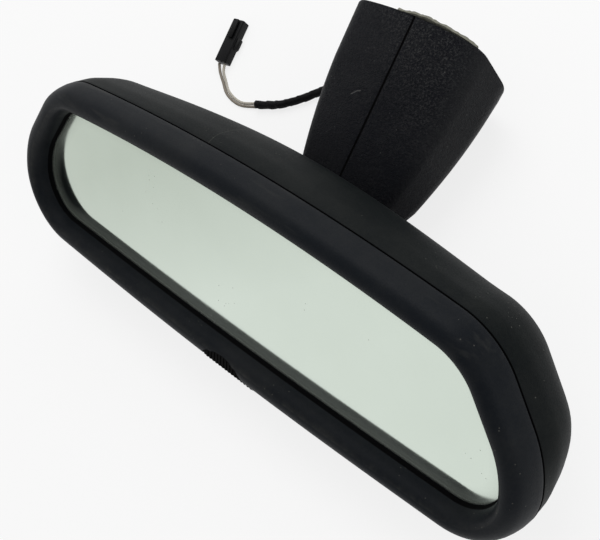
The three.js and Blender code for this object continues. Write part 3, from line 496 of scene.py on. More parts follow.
def skin(name, rings, closed=False):
    clear_selection()
    bpy.ops.mesh.primitive_circle_add(vertices=len(rings[0]), radius=1)
    piece = bpy.context.object
    piece.name = name
    for vertex, place in zip(piece.data.vertices, rings[0]):
        vertex.co = place
    bpy.ops.object.mode_set(mode="EDIT")
    bpy.ops.mesh.select_mode(type="EDGE")
    bpy.ops.mesh.select_all(action="SELECT")
    if not closed:
        bpy.ops.mesh.edge_face_add()
    for before, after in zip(rings, rings[1:] + rings[:1] if closed else rings[1:]):
        bpy.ops.mesh.extrude_edges_move()
        places = KDTree(len(before))
        for index, place in enumerate(before):
            places.insert(place, index)
        places.balance()
        mesh = bmesh.from_edit_mesh(piece.data)
        for vertex in mesh.verts:
            if vertex.select:
                vertex.co = after[places.find(vertex.co)[1]]
    if closed:
        bpy.ops.mesh.select_all(action="SELECT")
        bpy.ops.mesh.remove_doubles(threshold=TOUCHING)
    else:
        bpy.ops.mesh.edge_face_add()
    bpy.ops.mesh.select_all(action="SELECT")
    bpy.ops.mesh.normals_make_consistent(inside=False)
    bpy.ops.object.mode_set(mode="OBJECT")
    mark_rings(piece, rings)
    return piece


def mark_rings(piece, rings):
    places = KDTree(sum(len(ring) for ring in rings))
    for number, ring in enumerate(rings):
        for place in ring:
            places.insert(place, number)
    places.balance()
    along = piece.data.attributes.new("along", "FLOAT", "POINT")
    for vertex, value in zip(piece.data.vertices, along.data):
        value.value = places.find(vertex.co)[1]

# %% [markdown]
# ## The shape of the head
# The glass opening is a polygon of eight corners with large roundings. The rim and the shell are that
# outline grown outwards. Two slow swellings make the head fuller in its middle than at its ends.

# %% Outlines with rounded corners
def rounded_corners(corners):
    # the places on a polygon with rounded corners, each with its direction outwards
    places = []
    for i, (x, y, radius, steps) in enumerate(corners):
        here = Vector((x, y))
        before = (Vector(corners[i - 1][:2]) - here).normalized()
        after = (Vector(corners[(i + 1) % len(corners)][:2]) - here).normalized()
        half = math.acos(max(-1, min(1, before.dot(after)))) / 2
        middle = here + (before + after).normalized() * (radius / math.sin(half))
        first = here + before * (radius / math.tan(half)) - middle
        last = here + after * (radius / math.tan(half)) - middle
        turn = math.atan2(first.x * last.y - first.y * last.x, first.dot(last))
        for k in range(steps + 1):
            angle = turn * k / steps
            arm = Vector((first.x * math.cos(angle) - first.y * math.sin(angle),
                          first.x * math.sin(angle) + first.y * math.cos(angle)))
            places.append((middle + arm, arm.normalized()))
    return places


def left_and_right(right_half):
    sides = right_half[1:-1]
    return [right_half[0], *sides, right_half[-1], *[(-x, *rest) for x, *rest in reversed(sides)]]

# %% Head outline
OPENING = left_and_right([
    (0, 33.4, 875, 40), (95.3, 24.2, 18, 14), (113, -0.6, 32, 8), (117.3, -26.9, 16, 18),
    (0, -30.8, 2530, 30),
])
RIM_WIDTH = 10.9
CREST_RISE = 7.7
BASE_HEIGHT = -30.8
SHELL_DEPTH = 32.4
BACK_SWELL, BACK_SPAN = 1.8, 124
RIM_SWELL, RIM_SPAN = 0.12, 190
opening = rounded_corners(OPENING)


def swell(x, span):
    return math.cos(math.pi * x / span)


def head_ring(grow, depth, share=1, swollen=0.0):
    ring = []
    for place, out in opening:
        rim_share = 1 + RIM_SWELL * max(0, place.y / BASE_HEIGHT) * swell(place.x, RIM_SPAN)
        extra = swollen * swell(place.x, BACK_SPAN)
        grown = place + out * (grow * rim_share + extra)
        ring.append(Vector((grown.x * share, depth + extra, grown.y * share)) * MM)
    return ring


print("places round the opening:", len(opening))

# %% [markdown]
# ## The frame
# The frame is one moulding. Its front runs from the lip at the glass up a steep cove, over a soft crest
# and down to the seam. Behind, it is hollow, with a tongue that locates the shell and a pocket that
# holds the glass. The section is drawn once and carried round the opening.

# %% A smooth line
def smooth_line(points, steps):
    # a Catmull-Rom curve through points of any size, with so many steps between each two
    ends = [points[0], *points, points[-1]]
    line = []
    for p0, p1, p2, p3 in zip(ends, ends[1:], ends[2:], ends[3:]):
        for k in range(steps):
            t = k / steps
            line.append(tuple(
                0.5 * (2 * b + (c - a) * t + (2 * a - 5 * b + 4 * c - d) * t * t
                       + (3 * b - a - 3 * c + d) * t ** 3)
                for a, b, c, d in zip(p0, p1, p2, p3)))
    return [*line, tuple(points[-1])]

# %% Frame section
FRONT_SHARES = [
    (0, 0.02), (0.05, 0.16), (0.12, 0.54), (0.24, 0.86), (0.42, 1),
    (0.64, 0.95), (0.84, 0.7), (0.95, 0.31), (1, -0.13),
]
BACK_SHARES = [(0.66, 0.32), (0.5, 0.62), (0.33, 0.55), (0.24, 0.2)]
SEAM_DEPTH, TONGUE_DEPTH, POCKET_DEPTH = 3.2, 5.0, 3.5
front = [(w * RIM_WIDTH, -r * CREST_RISE) for w, r in smooth_line(FRONT_SHARES, 4)]
back = [(w * RIM_WIDTH, -r * CREST_RISE) for w, r in smooth_line(BACK_SHARES, 2)]
section = [
    *front, (RIM_WIDTH, 2.2), (RIM_WIDTH, 2.85), (10.82, 3.1), (10.6, SEAM_DEPTH), (8.7, SEAM_DEPTH),
    (8.7, TONGUE_DEPTH), (7.4, TONGUE_DEPTH), *back, (2.4, POCKET_DEPTH), (1.5, POCKET_DEPTH),
    (1.5, 0.15), (0.25, 0.15), (0, 0.05),
]
frame_rim = skin("frame_rim", [head_ring(grow, depth) for grow, depth in section], closed=True)
print("rings in the frame:", len(section), "of them in front:", len(front))

# %% [markdown]
# ## The finger recess
# Fingers reach the dip lever through an arched recess in the bottom of the rim, wider in front than
# behind. Two elliptic cylinders cut it out of the frame, the narrower one also out of the shell, and
# the new edges are rounded.

# %% Cutting and rounding
def finish_modifier(piece, kind, **settings):
    select_only(piece)
    modifier = piece.modifiers.new(kind.lower(), kind)
    for key, setting in settings.items():
        setattr(modifier, key, setting)
    bpy.ops.object.modifier_apply(modifier=modifier.name)


def cut_with(piece, tool):
    finish_modifier(piece, "BOOLEAN", operation="DIFFERENCE", solver="EXACT", object=tool)
    bpy.data.objects.remove(tool)


def round_edges(piece, width, angle=40):
    finish_modifier(piece, "BEVEL", width=width * MM, segments=2, limit_method="ANGLE",
                    angle_limit=math.radians(angle), use_clamp_overlap=True, miter_outer="MITER_ARC")
    print(piece.name, "edges rounded:", width, "mm")

# %% Finger recess
RECESS_HALF_WIDTH, RECESS_HEIGHT = 11.0, 7.2
ARCH_HALF_WIDTH, ARCH_HEIGHT = 12.8, 10.0
ARCH_FROM, ARCH_TO = -12, -0.5
RECESS_FROM, RECESS_TO = -2.5, 11
OUTER_FOOT = BASE_HEIGHT - RIM_WIDTH * (1 + RIM_SWELL)


def finger_cutter(from_depth, to_depth, half_width=RECESS_HALF_WIDTH, height=RECESS_HEIGHT):
    clear_selection()
    middle = Vector((0, (from_depth + to_depth) / 2, OUTER_FOOT)) * MM
    bpy.ops.mesh.primitive_cylinder_add(vertices=64, radius=MM, depth=(to_depth - from_depth) * MM,
                                        location=middle, rotation=(math.pi / 2, 0, 0))
    bpy.context.object.scale = (half_width, height, 1)
    return bpy.context.object


cut_with(frame_rim, finger_cutter(ARCH_FROM, ARCH_TO, ARCH_HALF_WIDTH, ARCH_HEIGHT))
cut_with(frame_rim, finger_cutter(RECESS_FROM, RECESS_TO))
round_edges(frame_rim, 0.3, 50)
lay_down(frame_rim)
dress(frame_rim, "head", bezel_black, "bezel_plastic", "bezel", smooth=35)

# %% [markdown]
# ## The web across the recess
# Low in the recess a thin ribbed web carries on the frame's lower edge. It is the top of an elliptic
# disc. Its front is divided into strips, and every other strip is extruded as a rib. It is drawn
# near-black, as painted shade of the deep recess.

# %% Recess web
WEB_FRONT, WEB_BACK, WEB_LOW = -4.1, -2.8, -41.75
WEB_MARGIN = 0.8
RIB_PITCH, RIB_RISE, RIBS_EACH_SIDE = 1.7, 0.2, 8


def edit_all():
    bpy.ops.object.mode_set(mode="EDIT")
    bpy.ops.mesh.select_all(action="SELECT")


web = finger_cutter(WEB_FRONT, WEB_BACK, ARCH_HALF_WIDTH + WEB_MARGIN, ARCH_HEIGHT + WEB_MARGIN)
web.name = "recess_web"
web.data.transform(web.matrix_basis)
web.matrix_basis = Matrix.Identity(4)
edit_all()
bpy.ops.mesh.bisect(plane_co=(0, 0, WEB_LOW * MM), plane_no=(0, 0, 1), use_fill=True, clear_inner=True)
for k in range(-RIBS_EACH_SIDE, RIBS_EACH_SIDE + 1):
    for across in (k + 0.5, k):
        bpy.ops.mesh.select_all(action="SELECT")
        bpy.ops.mesh.bisect(plane_co=(across * RIB_PITCH * MM, 0, 0), plane_no=(1, 0, 0))
bpy.ops.mesh.select_mode(type="FACE")
bpy.ops.mesh.select_all(action="DESELECT")
web_mesh = bmesh.from_edit_mesh(web.data)
for face in web_mesh.faces:
    middle = face.calc_center_median()
    in_rib = math.floor(middle.x / MM / RIB_PITCH * 2) % 2 == 0
    face.select = face.normal.y < -0.9 and in_rib and abs(middle.x) < ARCH_HALF_WIDTH * MM
bmesh.update_edit_mesh(web.data)
bpy.ops.mesh.extrude_region_move(TRANSFORM_OT_translate={"value": (0, -RIB_RISE * MM, 0)})
bpy.ops.object.mode_set(mode="OBJECT")
lay_down(web)
# painted shade of the recess: its web is drawn near-black
dress(web, "head", recess_painted_shade_black, "bezel_plastic")

# %% [markdown]
# ## The glass
# The glass is a wedge: flat in front, thicker towards its top. Its front is drawn in closer and closer
# rings, so that the finish knows how near the edge is, where such a glass is always a little hazy.

# %% Mirror glass
GLASS_FRONT = 0.45
GLASS_LOW, GLASS_GROWTH = 1.8, 3.4 / 64.2
GLASS_EDGE, GLASS_BEVEL = 0.9, 0.15
front_grows = [-9, -7.4, -5.8, -4.4, -3.1, -1.9, -0.8, 0.1, GLASS_EDGE - GLASS_BEVEL]


def glass_back(grow, before=0.0):
    ring = head_ring(grow, 0)
    for place in ring:
        thickness = GLASS_LOW + GLASS_GROWTH * (place.z / MM - BASE_HEIGHT)
        place.y = (GLASS_FRONT + thickness - before) * MM
    return ring


glass_rings = [head_ring(grow, GLASS_FRONT) for grow in front_grows]
glass_rings += [head_ring(GLASS_EDGE, GLASS_FRONT + GLASS_BEVEL), glass_back(GLASS_EDGE, GLASS_BEVEL),
                glass_back(GLASS_EDGE - GLASS_BEVEL)]
glass = skin("silvered_wedge", glass_rings)
lay_down(glass)
dress(glass, "head", mirror_silver, "mirror", "mirror_glass")

# %% [markdown]
# ## The rear shell
# The shell closes the head from behind. Its corner is soft, its back nearly flat with a raised middle,
# and a round hole in it lets the stem out through a collar. It is a cup with a wall of about two
# millimetres: the rings run from the inside of its back to the seam and round to the outside of its
# back. Each end is slotted, and the ends are filled out behind the seam, one more than the other.

# %% Rear shell
SHELL_SHARES = [
    (1, 0.16), (0.975, 0.31), (0.89, 0.44), (0.75, 0.62), (0.52, 0.795), (0.18, 0.91), (-0.36, 0.97),
]
SHELL_BACK, SHELL_WALL = 34.8, 2.2
outside = [(w * RIM_WIDTH, d * SHELL_DEPTH) for w, d in smooth_line([*SHELL_SHARES, (-0.92, 1)], 3)]
END_FILL = {-1: 0.6, 1: 3.0}
END_FROM, END_TO = 78, 106
END_LOW, END_HIGH = -14, 4


def eased(value, low, high):
    share = max(0, min(1, (value - low) / (high - low)))
    return share * share * (3 - 2 * share)


def swollen_ring(grow, depth):
    ring = head_ring(grow, depth, 1, BACK_SWELL * depth / SHELL_DEPTH)
    bulge = math.sin(math.pi * max(0, min(1, depth / SHELL_DEPTH - 0.1)) / 0.9)
    filled = []
    for point, (place, out) in zip(ring, opening):
        near_end = eased(abs(place.x), END_FROM, END_TO) * eased(place.y, END_LOW, END_HIGH)
        fill = END_FILL[1 if place.x > 0 else -1]
        filled.append(point + Vector((out.x, 0, out.y)) * (fill * bulge * near_end * MM))
    return filled


inner_rings = [head_ring(-10, SHELL_BACK - SHELL_WALL, 0.6), swollen_ring(-6.5, 30.2)]
inner_rings += [swollen_ring(grow - SHELL_WALL, max(depth - SHELL_WALL / 2, 5.9))
                for grow, depth in reversed(outside[2:-3:3])]
inner_rings += [head_ring(9.0, 5.3), head_ring(9.0, 3.5)]
outer_rings = [head_ring(10.6, 3.5), head_ring(10.82, 3.6), head_ring(10.9, 3.85)]
outer_rings += [swollen_ring(grow, depth) for grow, depth in outside]
outer_rings += [head_ring(-10, SHELL_BACK - drop, share)
                for drop, share in ((0.9, 0.68), (0.2, 0.625), (0, 0.6))]
rear_skin = skin("rear_skin", [*inner_rings, *outer_rings])
print("rings in the shell:", len(inner_rings) + len(outer_rings))

# %% Holes in the shell
STEM_ANGLE = math.radians(20)
BALL_DEPTH = 20.5
COLLAR_HEIGHT = (SHELL_BACK - BALL_DEPTH) * math.tan(STEM_ANGLE)
STEM_HOLE_RADIUS, STEM_HOLE_DEPTH = 16.9, 20
SLOT_ACROSS, SLOT_DEPTH, SLOT_HEIGHT = 128.2, 13.5, -18
SLOT_SIZE = (26, 1.1, 7.5)


def bore(piece, sides, radius, depth, place, rotation=(math.pi / 2, 0, 0)):
    clear_selection()
    bpy.ops.mesh.primitive_cylinder_add(vertices=sides, radius=radius * MM, depth=depth * MM,
                                        rotation=rotation, location=Vector(place) * MM)
    cut_with(piece, bpy.context.object)


bore(rear_skin, 96, STEM_HOLE_RADIUS, STEM_HOLE_DEPTH, (0, SHELL_BACK, COLLAR_HEIGHT))
cut_with(rear_skin, finger_cutter(-5, RECESS_TO))
for side in (-1, 1):
    clear_selection()
    slot_place = Vector((side * SLOT_ACROSS, SLOT_DEPTH, SLOT_HEIGHT)) * MM
    bpy.ops.mesh.primitive_cube_add(size=MM, location=slot_place)
    bpy.context.object.scale = SLOT_SIZE
    cut_with(rear_skin, bpy.context.object)
round_edges(rear_skin, 0.25, 50)
lay_down(rear_skin)
dress(rear_skin, "head", shell_black, "shell_plastic", "rear_shell", smooth=35)

# %% [markdown]
# ## The collar round the stem
# A short ring is set in the shell's back. Its section is a rounded bar, carried round the stem's hole.

# %% Stem collar
def turned_ring(name, section, middle, sides=96):
    rings = []
    for radius, depth in section:
        rings.append([
            (middle + Vector((radius * math.cos(a), depth, radius * math.sin(a)))) * MM
            for a in (math.tau * k / sides for k in range(sides))])
    return skin(name, rings, closed=True)


collar = turned_ring("stem_ring", [
    (14.4, 30.2), (14.4, 35.9), (14.6, 36.35), (15.0, 36.6), (16.0, 36.6), (16.4, 36.35), (16.6, 35.9),
    (16.6, 30.2),
], Vector((0, 0, COLLAR_HEIGHT)))
lay_down(collar)
dress(collar, "head", shell_black, "shell_plastic", "stem_collar", smooth=35)

# %% [markdown]
# ## The cover over the stem
# Two thin halves close on the stem and meet at a fine seam in front and behind. Their common body is a
# rounded section carried up from a blunt nose to the windscreen, with the wall inside it. It is then
# parted down its middle, and each half keeps its rounded seam edge.

# %% Cover section
SEAM_START = Vector((0, 51.7, 29.2))
LEAN = math.radians(59.1)
SEAM_LENGTH = 51.6
NOSE_LENGTH = 26
COVER_WALL = 2.2
COVER_HALF_WIDTH, NOSE_NARROWING, WIDE_FROM = 33.1, 5.2, 42.9
COVER_THICKNESS, THICKNESS_GROWTH = 28, 0.152
upwards = Vector((0, math.cos(LEAN), math.sin(LEAN)))
backwards = Vector((0, math.sin(LEAN), -math.cos(LEAN)))
SCREEN_ANGLE = math.radians(56.6)
screen_normal = Vector((0, math.sin(SCREEN_ANGLE), math.cos(SCREEN_ANGLE)))
SECTION_SHARE = 1.35
COVER_SECTION = left_and_right([
    (0, -0.073, 3, 18), (0.863, 0.123, 0.23, 10), (1.024, 0.737, 0.36, 8), (0.77, 1.35, 0.3, 10),
    (0, 1.377, 4, 10),
])
cover_section = [place for place, out in rounded_corners(COVER_SECTION)]


def cover_place(along, back, x=0.0):
    return SEAM_START + upwards * along + backwards * back + Vector((x, 0, 0))


def cover_point(place, along, size, inset):
    half_width = COVER_HALF_WIDTH - NOSE_NARROWING * max(0, 1 - along / WIDE_FROM) ** 2
    thickness = COVER_THICKNESS + THICKNESS_GROWTH * along
    from_middle = place.y / SECTION_SHARE - 0.5
    back = thickness / 2 + from_middle * (thickness * size - inset * 2)
    return cover_place(along, back, place.x * (half_width * size - inset))


print("places round the cover:", len(cover_section))

# %% Cover rings
NOSE_SHARES = [(1, 0.42), (0.96, 0.64), (0.86, 0.82), (0.68, 0.94), (0.42, 1)]


def cover_ring(along, size, inset):
    return [cover_point(place, along, size, inset) * MM for place in cover_section]


def windscreen_ring(inset, drop):
    # each line of the cover runs up to the plane that lies the drop below the windscreen's edge
    ring = []
    edge = cover_place(SEAM_LENGTH, 0) - screen_normal * drop
    for place in cover_section:
        low, high = 0.0, 80.0
        for _ in range(30):
            middle = (low + high) / 2
            beyond = (cover_point(place, middle, 1, inset) - edge).dot(screen_normal) > 0
            low, high = (low, middle) if beyond else (middle, high)
        ring.append(cover_point(place, low, 1, inset) * MM)
    return ring


def nose_rings(inset):
    return [cover_ring(-(NOSE_LENGTH - inset) * place, size, inset)
            for place, size in smooth_line(NOSE_SHARES, 3)]


def body_rings(inset):
    return [cover_ring(along, 1, inset) for along in (-7, -3.5, 0, 4, 8, 12, 16, 20, 24, 28)]


inside = [*nose_rings(COVER_WALL), *body_rings(COVER_WALL), windscreen_ring(COVER_WALL, 0.4)]
inside += [windscreen_ring(COVER_WALL - 0.3, 0)]
outside_rings = [windscreen_ring(0.5, 0), windscreen_ring(0.15, 0.12), windscreen_ring(0, 0.5)]
outside_rings += [*reversed(body_rings(0)), *reversed(nose_rings(0))]
whole_cover = skin("cover", [*inside, *outside_rings])
print("cover rings:", len(inside) + len(outside_rings))

# %% The stem's hole
STEM_OPENING, STEM_CUT = 7.2, 27
ball_centre = Vector((0, BALL_DEPTH, 0))
stem_along = Vector((0, math.cos(STEM_ANGLE), math.sin(STEM_ANGLE)))
bore(whole_cover, 64, STEM_OPENING, STEM_CUT, ball_centre + stem_along * STEM_CUT,
     stem_along.to_track_quat("Z", "Y").to_euler())
print("cover with its hole, faces:", len(whole_cover.data.polygons))

# %% Two halves
GROMMET_OPENING, GROMMET_CUT = 3.3, 12
GROMMET_ACROSS, GROMMET_ALONG, GROMMET_BACK = -28, 18.5, 24
HALF_SEAM = 0.13


def copied(piece, name):
    copy = piece.copy()
    copy.data = piece.data.copy()
    copy.name = name
    bpy.context.collection.objects.link(copy)
    select_only(copy)
    return copy


def keep_beyond(across, side):
    # in edit mode: cuts by a plane square to x, and keeps what lies on that side of it
    bpy.ops.mesh.bisect(plane_co=(across * MM, 0, 0), plane_no=(side, 0, 0), use_fill=True,
                        clear_inner=True)


grommet_centre = cover_place(GROMMET_ALONG, GROMMET_BACK)
for side, word in ((-1, "left"), (1, "right")):
    half = copied(whole_cover, f"cover_shell_{word}")
    edit_all()
    keep_beyond(side * HALF_SEAM, side)
    bpy.ops.object.mode_set(mode="OBJECT")
    if side < 0:
        bore(half, 48, GROMMET_OPENING, GROMMET_CUT, (GROMMET_ACROSS, *grommet_centre.yz),
             (0, math.pi / 2, 0))
    round_edges(half, 0.22, 40)
    lay_down(half)
    dress(half, "mount", cover_black, "cover_plastic", f"cover_{word}", smooth=35)
bpy.data.objects.remove(whole_cover)

# %% [markdown]
# ## Softer edges on the smaller pieces
# The smaller mouldings and the metal parts keep the forms of their solids. A copy of each is merged and
# cleared of needless edges, its sharp edges are rounded, and it takes the solid's place.

# %% Softened copies
def softened(name, body, slot, width, smooth=35):
    copy = copied(nodes[name], f"{name}_soft")
    edit_all()
    bpy.ops.mesh.remove_doubles(threshold=TOUCHING)
    bpy.ops.mesh.dissolve_limited(angle_limit=math.radians(1.5))
    bpy.ops.object.mode_set(mode="OBJECT")
    if width:
        round_edges(copy, width, 30)
    return dress(copy, body, NODE_FINISHES[name], slot, name, smooth=smooth)


SOFTENED = [
    ("dip_lever", "lever", "lever_plastic", 0.3), ("windscreen_foot", "mount", "zinc", 0.5),
    ("clamp_plate", "mount", "steel", 0.25), ("connector_body", "mount", "connector_plastic", 0.22),
    ("connector_latch", "mount", "connector_plastic", 0.2), ("lead_terminal", "mount", "nylon", 0.25),
    ("stem_arm", "mount", "zinc", 0.0), ("ball_liner", "yaw_ring", "nylon", 0.0),
    ("ball_cup", "pitch_ring", "steel", 0.0), ("cable_grommet", "mount", "rubber", 0.25),
    ("adhesive_pad", "mount", "adhesive", 0.25), ("foot_screw_left", "mount", "steel", 0.15),
    ("foot_screw_right", "mount", "steel", 0.15), ("pivot_carrier", "carrier", "inner_plastic", 0.25),
]
soft_pieces = {row[0]: softened(*row) for row in SOFTENED}

# %% [markdown]
# ## The connector's side lug
# A low lug on the connector's right side keys it in its socket. It starts as a cube at its size, its
# outer face is drawn in along the side, and its edges are rounded.

# %% Side lug
LUG_OUT, LUG_LENGTH, LUG_HEIGHT = 1.9, 7.0, 3.0
LUG_CENTRE = (3.55, 9.4, 1.95)
LUG_TAPER = 0.6
CONNECTOR_PLACE, CONNECTOR_TURN = (-100.5, 30, 0), 10.5
clear_selection()
bpy.ops.mesh.primitive_cube_add(size=MM, location=(0, 0, 0))
connector_lug = bpy.context.object
connector_lug.name = "connector_lug"
connector_lug.data.transform(Matrix.Diagonal((LUG_OUT, LUG_LENGTH, LUG_HEIGHT, 1)))
bpy.ops.object.mode_set(mode="EDIT")
bpy.ops.mesh.select_mode(type="FACE")
bpy.ops.mesh.select_all(action="DESELECT")
bpy.ops.object.mode_set(mode="OBJECT")
for face in connector_lug.data.polygons:
    face.select = face.normal.x > 0.9
bpy.ops.object.mode_set(mode="EDIT")
bpy.ops.transform.resize(value=(1, LUG_TAPER, LUG_TAPER))
bpy.ops.object.mode_set(mode="OBJECT")
round_edges(connector_lug, 0.25, 30)
connector_lug.data.transform(
    Matrix.Translation(Vector(CONNECTOR_PLACE) * MM)
    @ Matrix.Rotation(math.radians(CONNECTOR_TURN), 4, "Z")
    @ Matrix.Translation(Vector(LUG_CENTRE) * MM))
dress(connector_lug, "mount", connector_black, "connector_plastic", smooth=35)

# %% [markdown]
# ## The torn rest of the fixing tape
# A strip of the old double-sided tape still clings to the cover's upper edge. It starts as the solid
# strip; its long edges are divided, and its outer side is creased and torn by uneven steps inwards.

# %% Torn tape
TEAR = 0.9 * 0.55
COARSE_TEARS, FINE_TEARS = 620, 1700
screen_on_table = laid.to_3x3() @ screen_normal
torn = softened("tape_rest", "mount", "torn_tape", 0.0, smooth=25)
edit_all()
bpy.ops.mesh.quads_convert_to_tris()
bpy.ops.mesh.subdivide(number_cuts=3)
bpy.ops.object.mode_set(mode="OBJECT")
strip_low = min(vertex.co.z for vertex in torn.data.vertices)
strip_high = max(vertex.co.z for vertex in torn.data.vertices)
for vertex in torn.data.vertices:
    height = (vertex.co.z - strip_low) / (strip_high - strip_low)
    rough = noise.noise(vertex.co * COARSE_TEARS) * 0.6 + noise.noise(vertex.co * FINE_TEARS) * 0.4
    vertex.co -= vertex.normal * (0.5 + rough) * TEAR * MM * (0.35 + 0.65 * height)
print("torn tape points:", len(torn.data.vertices))

# %% [markdown]
# The strip thins out on the cover's left half. That end is a mirrored copy of the strip, cut off where
# the solid strip takes over and pressed flatter towards its tip.

# %% The thin end of the tape
THIN_END_MOVE, THIN_END_LEFT, THIN_END_DROP = 5.2, -8, 0.8
thin_end = copied(torn, "tape_thin_end")
across = Matrix.Translation((THIN_END_MOVE * MM, 0, 0)) @ Matrix.Scale(-1, 4, (1, 0, 0))
thin_end.data.transform(across)
edit_all()
keep_beyond(THIN_END_LEFT, 1)
bpy.ops.mesh.select_all(action="SELECT")
bpy.ops.mesh.normals_make_consistent(inside=False)
bpy.ops.object.mode_set(mode="OBJECT")
for vertex in thin_end.data.vertices:
    run = (vertex.co.x / MM - THIN_END_LEFT) / (THIN_END_MOVE - THIN_END_LEFT)
    vertex.co -= screen_on_table * (1 - run) * THIN_END_DROP * MM
dress(thin_end, "mount", grey_adhesive, "torn_tape", smooth=25)

# %% [markdown]
# ## The lead
# A short stretch wrapped in cloth tape leaves the left cover, bends to the table and lies on it. Two
# thin wires go on from the tape's end, side by side, and part just before the connector. The routes
# are close to those of the solids, with the same smooth curve through their points.

# %% Routes of the lead
EXIT = Vector((-29.577, 42.138, 9.423))
SLEEVE_ROUTE = [
    (-32.577, 42.138, 9.423), (-38.6, 41.7, 6.3), (-43.4, 40.4, 3.3), (-48.4, 37, 1.9),
    (-54.3, 31.3, 1.85), (-62.3, 25.4, 1.85), (-72.3, 21.1, 1.85),
]
WIRE_ROUTE_A = [
    (-72.4, 20.4, 0.9), (-81.1, 17.84, 0.65), (-90.15, 19.38, 0.65),
    (-95.45, 23, 0.8), (-99.3, 26.2, 1.8), (-101.9, 29.2, 2.3),
]
WIRE_ROUTE_B = [
    (-73, 21.8, 0.9), (-81.2, 19.1, 0.65), (-89.7, 20.6, 0.65),
    (-94.6, 24, 0.8), (-97.7, 27, 1.8), (-99, 29.9, 2.3),
]


def smooth_route(points, per_span=4):
    # a centripetal Catmull-Rom curve, through every point
    points = [Vector(point) for point in points]
    ends = [points[0] * 2 - points[1], *points, points[-1] * 2 - points[-2]]
    route = []
    for i in range(1, len(ends) - 2):
        p0, p1, p2, p3 = ends[i - 1:i + 3]
        t1 = (p1 - p0).length ** 0.5
        t2 = t1 + (p2 - p1).length ** 0.5
        t3 = t2 + (p3 - p2).length ** 0.5
        for k in range(per_span):
            t = t1 + (t2 - t1) * k / per_span
            a1 = p0.lerp(p1, t / t1)
            a2 = p1.lerp(p2, (t - t1) / (t2 - t1))
            a3 = p2.lerp(p3, (t - t2) / (t3 - t2))
            b1 = a1.lerp(a2, t / t2)
            b2 = a2.lerp(a3, (t - t1) / (t3 - t1))
            route.append(b1.lerp(b2, (t - t1) / (t2 - t1)))
    return [*route, points[-1]]


def route_length(route):
    return sum((b - a).length for a, b in zip(route, route[1:])) * MM


sleeve_line = smooth_route([EXIT, *SLEEVE_ROUTE])
wire_lines = {"a": smooth_route(WIRE_ROUTE_A), "b": smooth_route(WIRE_ROUTE_B)}
for word, line in [("sleeve", sleeve_line), *wire_lines.items()]:
    print(word, "length:", round(route_length(line) * 1000, 1), "mm, points:", len(line))

# %% Two wires
WIRE_RADIUS = 0.6


def cord_curve(name, route, radius):
    data = bpy.data.curves.new(name, "CURVE")
    data.dimensions = "3D"
    data.bevel_depth = radius * MM
    data.bevel_resolution = 4
    data.use_fill_caps = True
    spline = data.splines.new("POLY")
    spline.points.add(len(route) - 1)
    for point, place in zip(spline.points, route):
        point.co = (*(place * MM), 1)
    piece = bpy.data.objects.new(name, data)
    bpy.context.collection.objects.link(piece)
    return piece


for word, sleeving, slot in [("a", grey_sleeving, "grey_wire"), ("b", pale_sleeving, "pale_wire")]:
    wire = cord_curve(f"lead_wire_{word}", wire_lines[word], WIRE_RADIUS)
    wire.data.materials.append(sleeving)
    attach(wire, "mount")
    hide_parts(f"wire_{word}")
    wire_lines[word][0] * MM
    route_length(wire_lines[word])
    print(wire.name, "as a curve of", len(wire_lines[word]), "points")

# %% [markdown]
# ## The taped part of the lead
# Cloth tape is wound round the two wires, each turn lapping over the last, so the sleeve's radius steps
# at every turn. It is a tube of rings along the route, with a skewed saw-tooth and small dents in it.

# %% Taped sleeve
SLEEVE_RADIUS = 1.88
TAPE_TURN, TAPE_SKEW, TAPE_STEP = 5.2, 0.8, 0.3
SLEEVE_RING_STEP = 0.55


def taped_rings(route, sides=20):
    fine = []
    for a, b in zip(route, route[1:]):
        parts = max(1, round((b - a).length / SLEEVE_RING_STEP))
        fine += [a.lerp(b, k / parts) for k in range(parts)]
    fine.append(route[-1])
    rings, run = [], 0.0
    for i, place in enumerate(fine):
        ahead = (fine[min(i + 1, len(fine) - 1)] - fine[max(i - 1, 0)]).normalized()
        across = ahead.cross(Vector((0, 0, 1))).normalized()
        over = across.cross(ahead)
        run += (place - fine[i - 1]).length if i else 0
        ring = []
        for k in range(sides):
            angle = math.tau * k / sides
            skewed = run + TAPE_TURN * angle / math.tau * TAPE_SKEW + math.sin(run * 0.31) * 0.9
            lap = skewed / TAPE_TURN % 1
            dent = noise.noise(Vector((run * 0.25, math.cos(angle), math.sin(angle)))) * 0.3
            radius = SLEEVE_RADIUS - TAPE_STEP * (1 - lap) - abs(dent)
            arm = across * math.cos(angle) + over * math.sin(angle)
            ring.append((place + arm * radius) * MM)
        rings.append(ring)
    return rings


sleeve = skin("taped_sleeve", taped_rings(sleeve_line))
dress(sleeve, "mount", cloth_tape_black, "cloth_tape", "cable_sleeve", smooth=50)
route_length(sleeve_line)
[place * MM for place in sleeve_line]

# %% [markdown]
# ## The room
# The mirror lies on a white table. A big soft lamp stands over the windscreen end, a weaker one to the
# right, and a pale world fills the shadows. The camera sees nearly white all round. What the mirror
# reflects is white too, and greyer towards the camera's side.

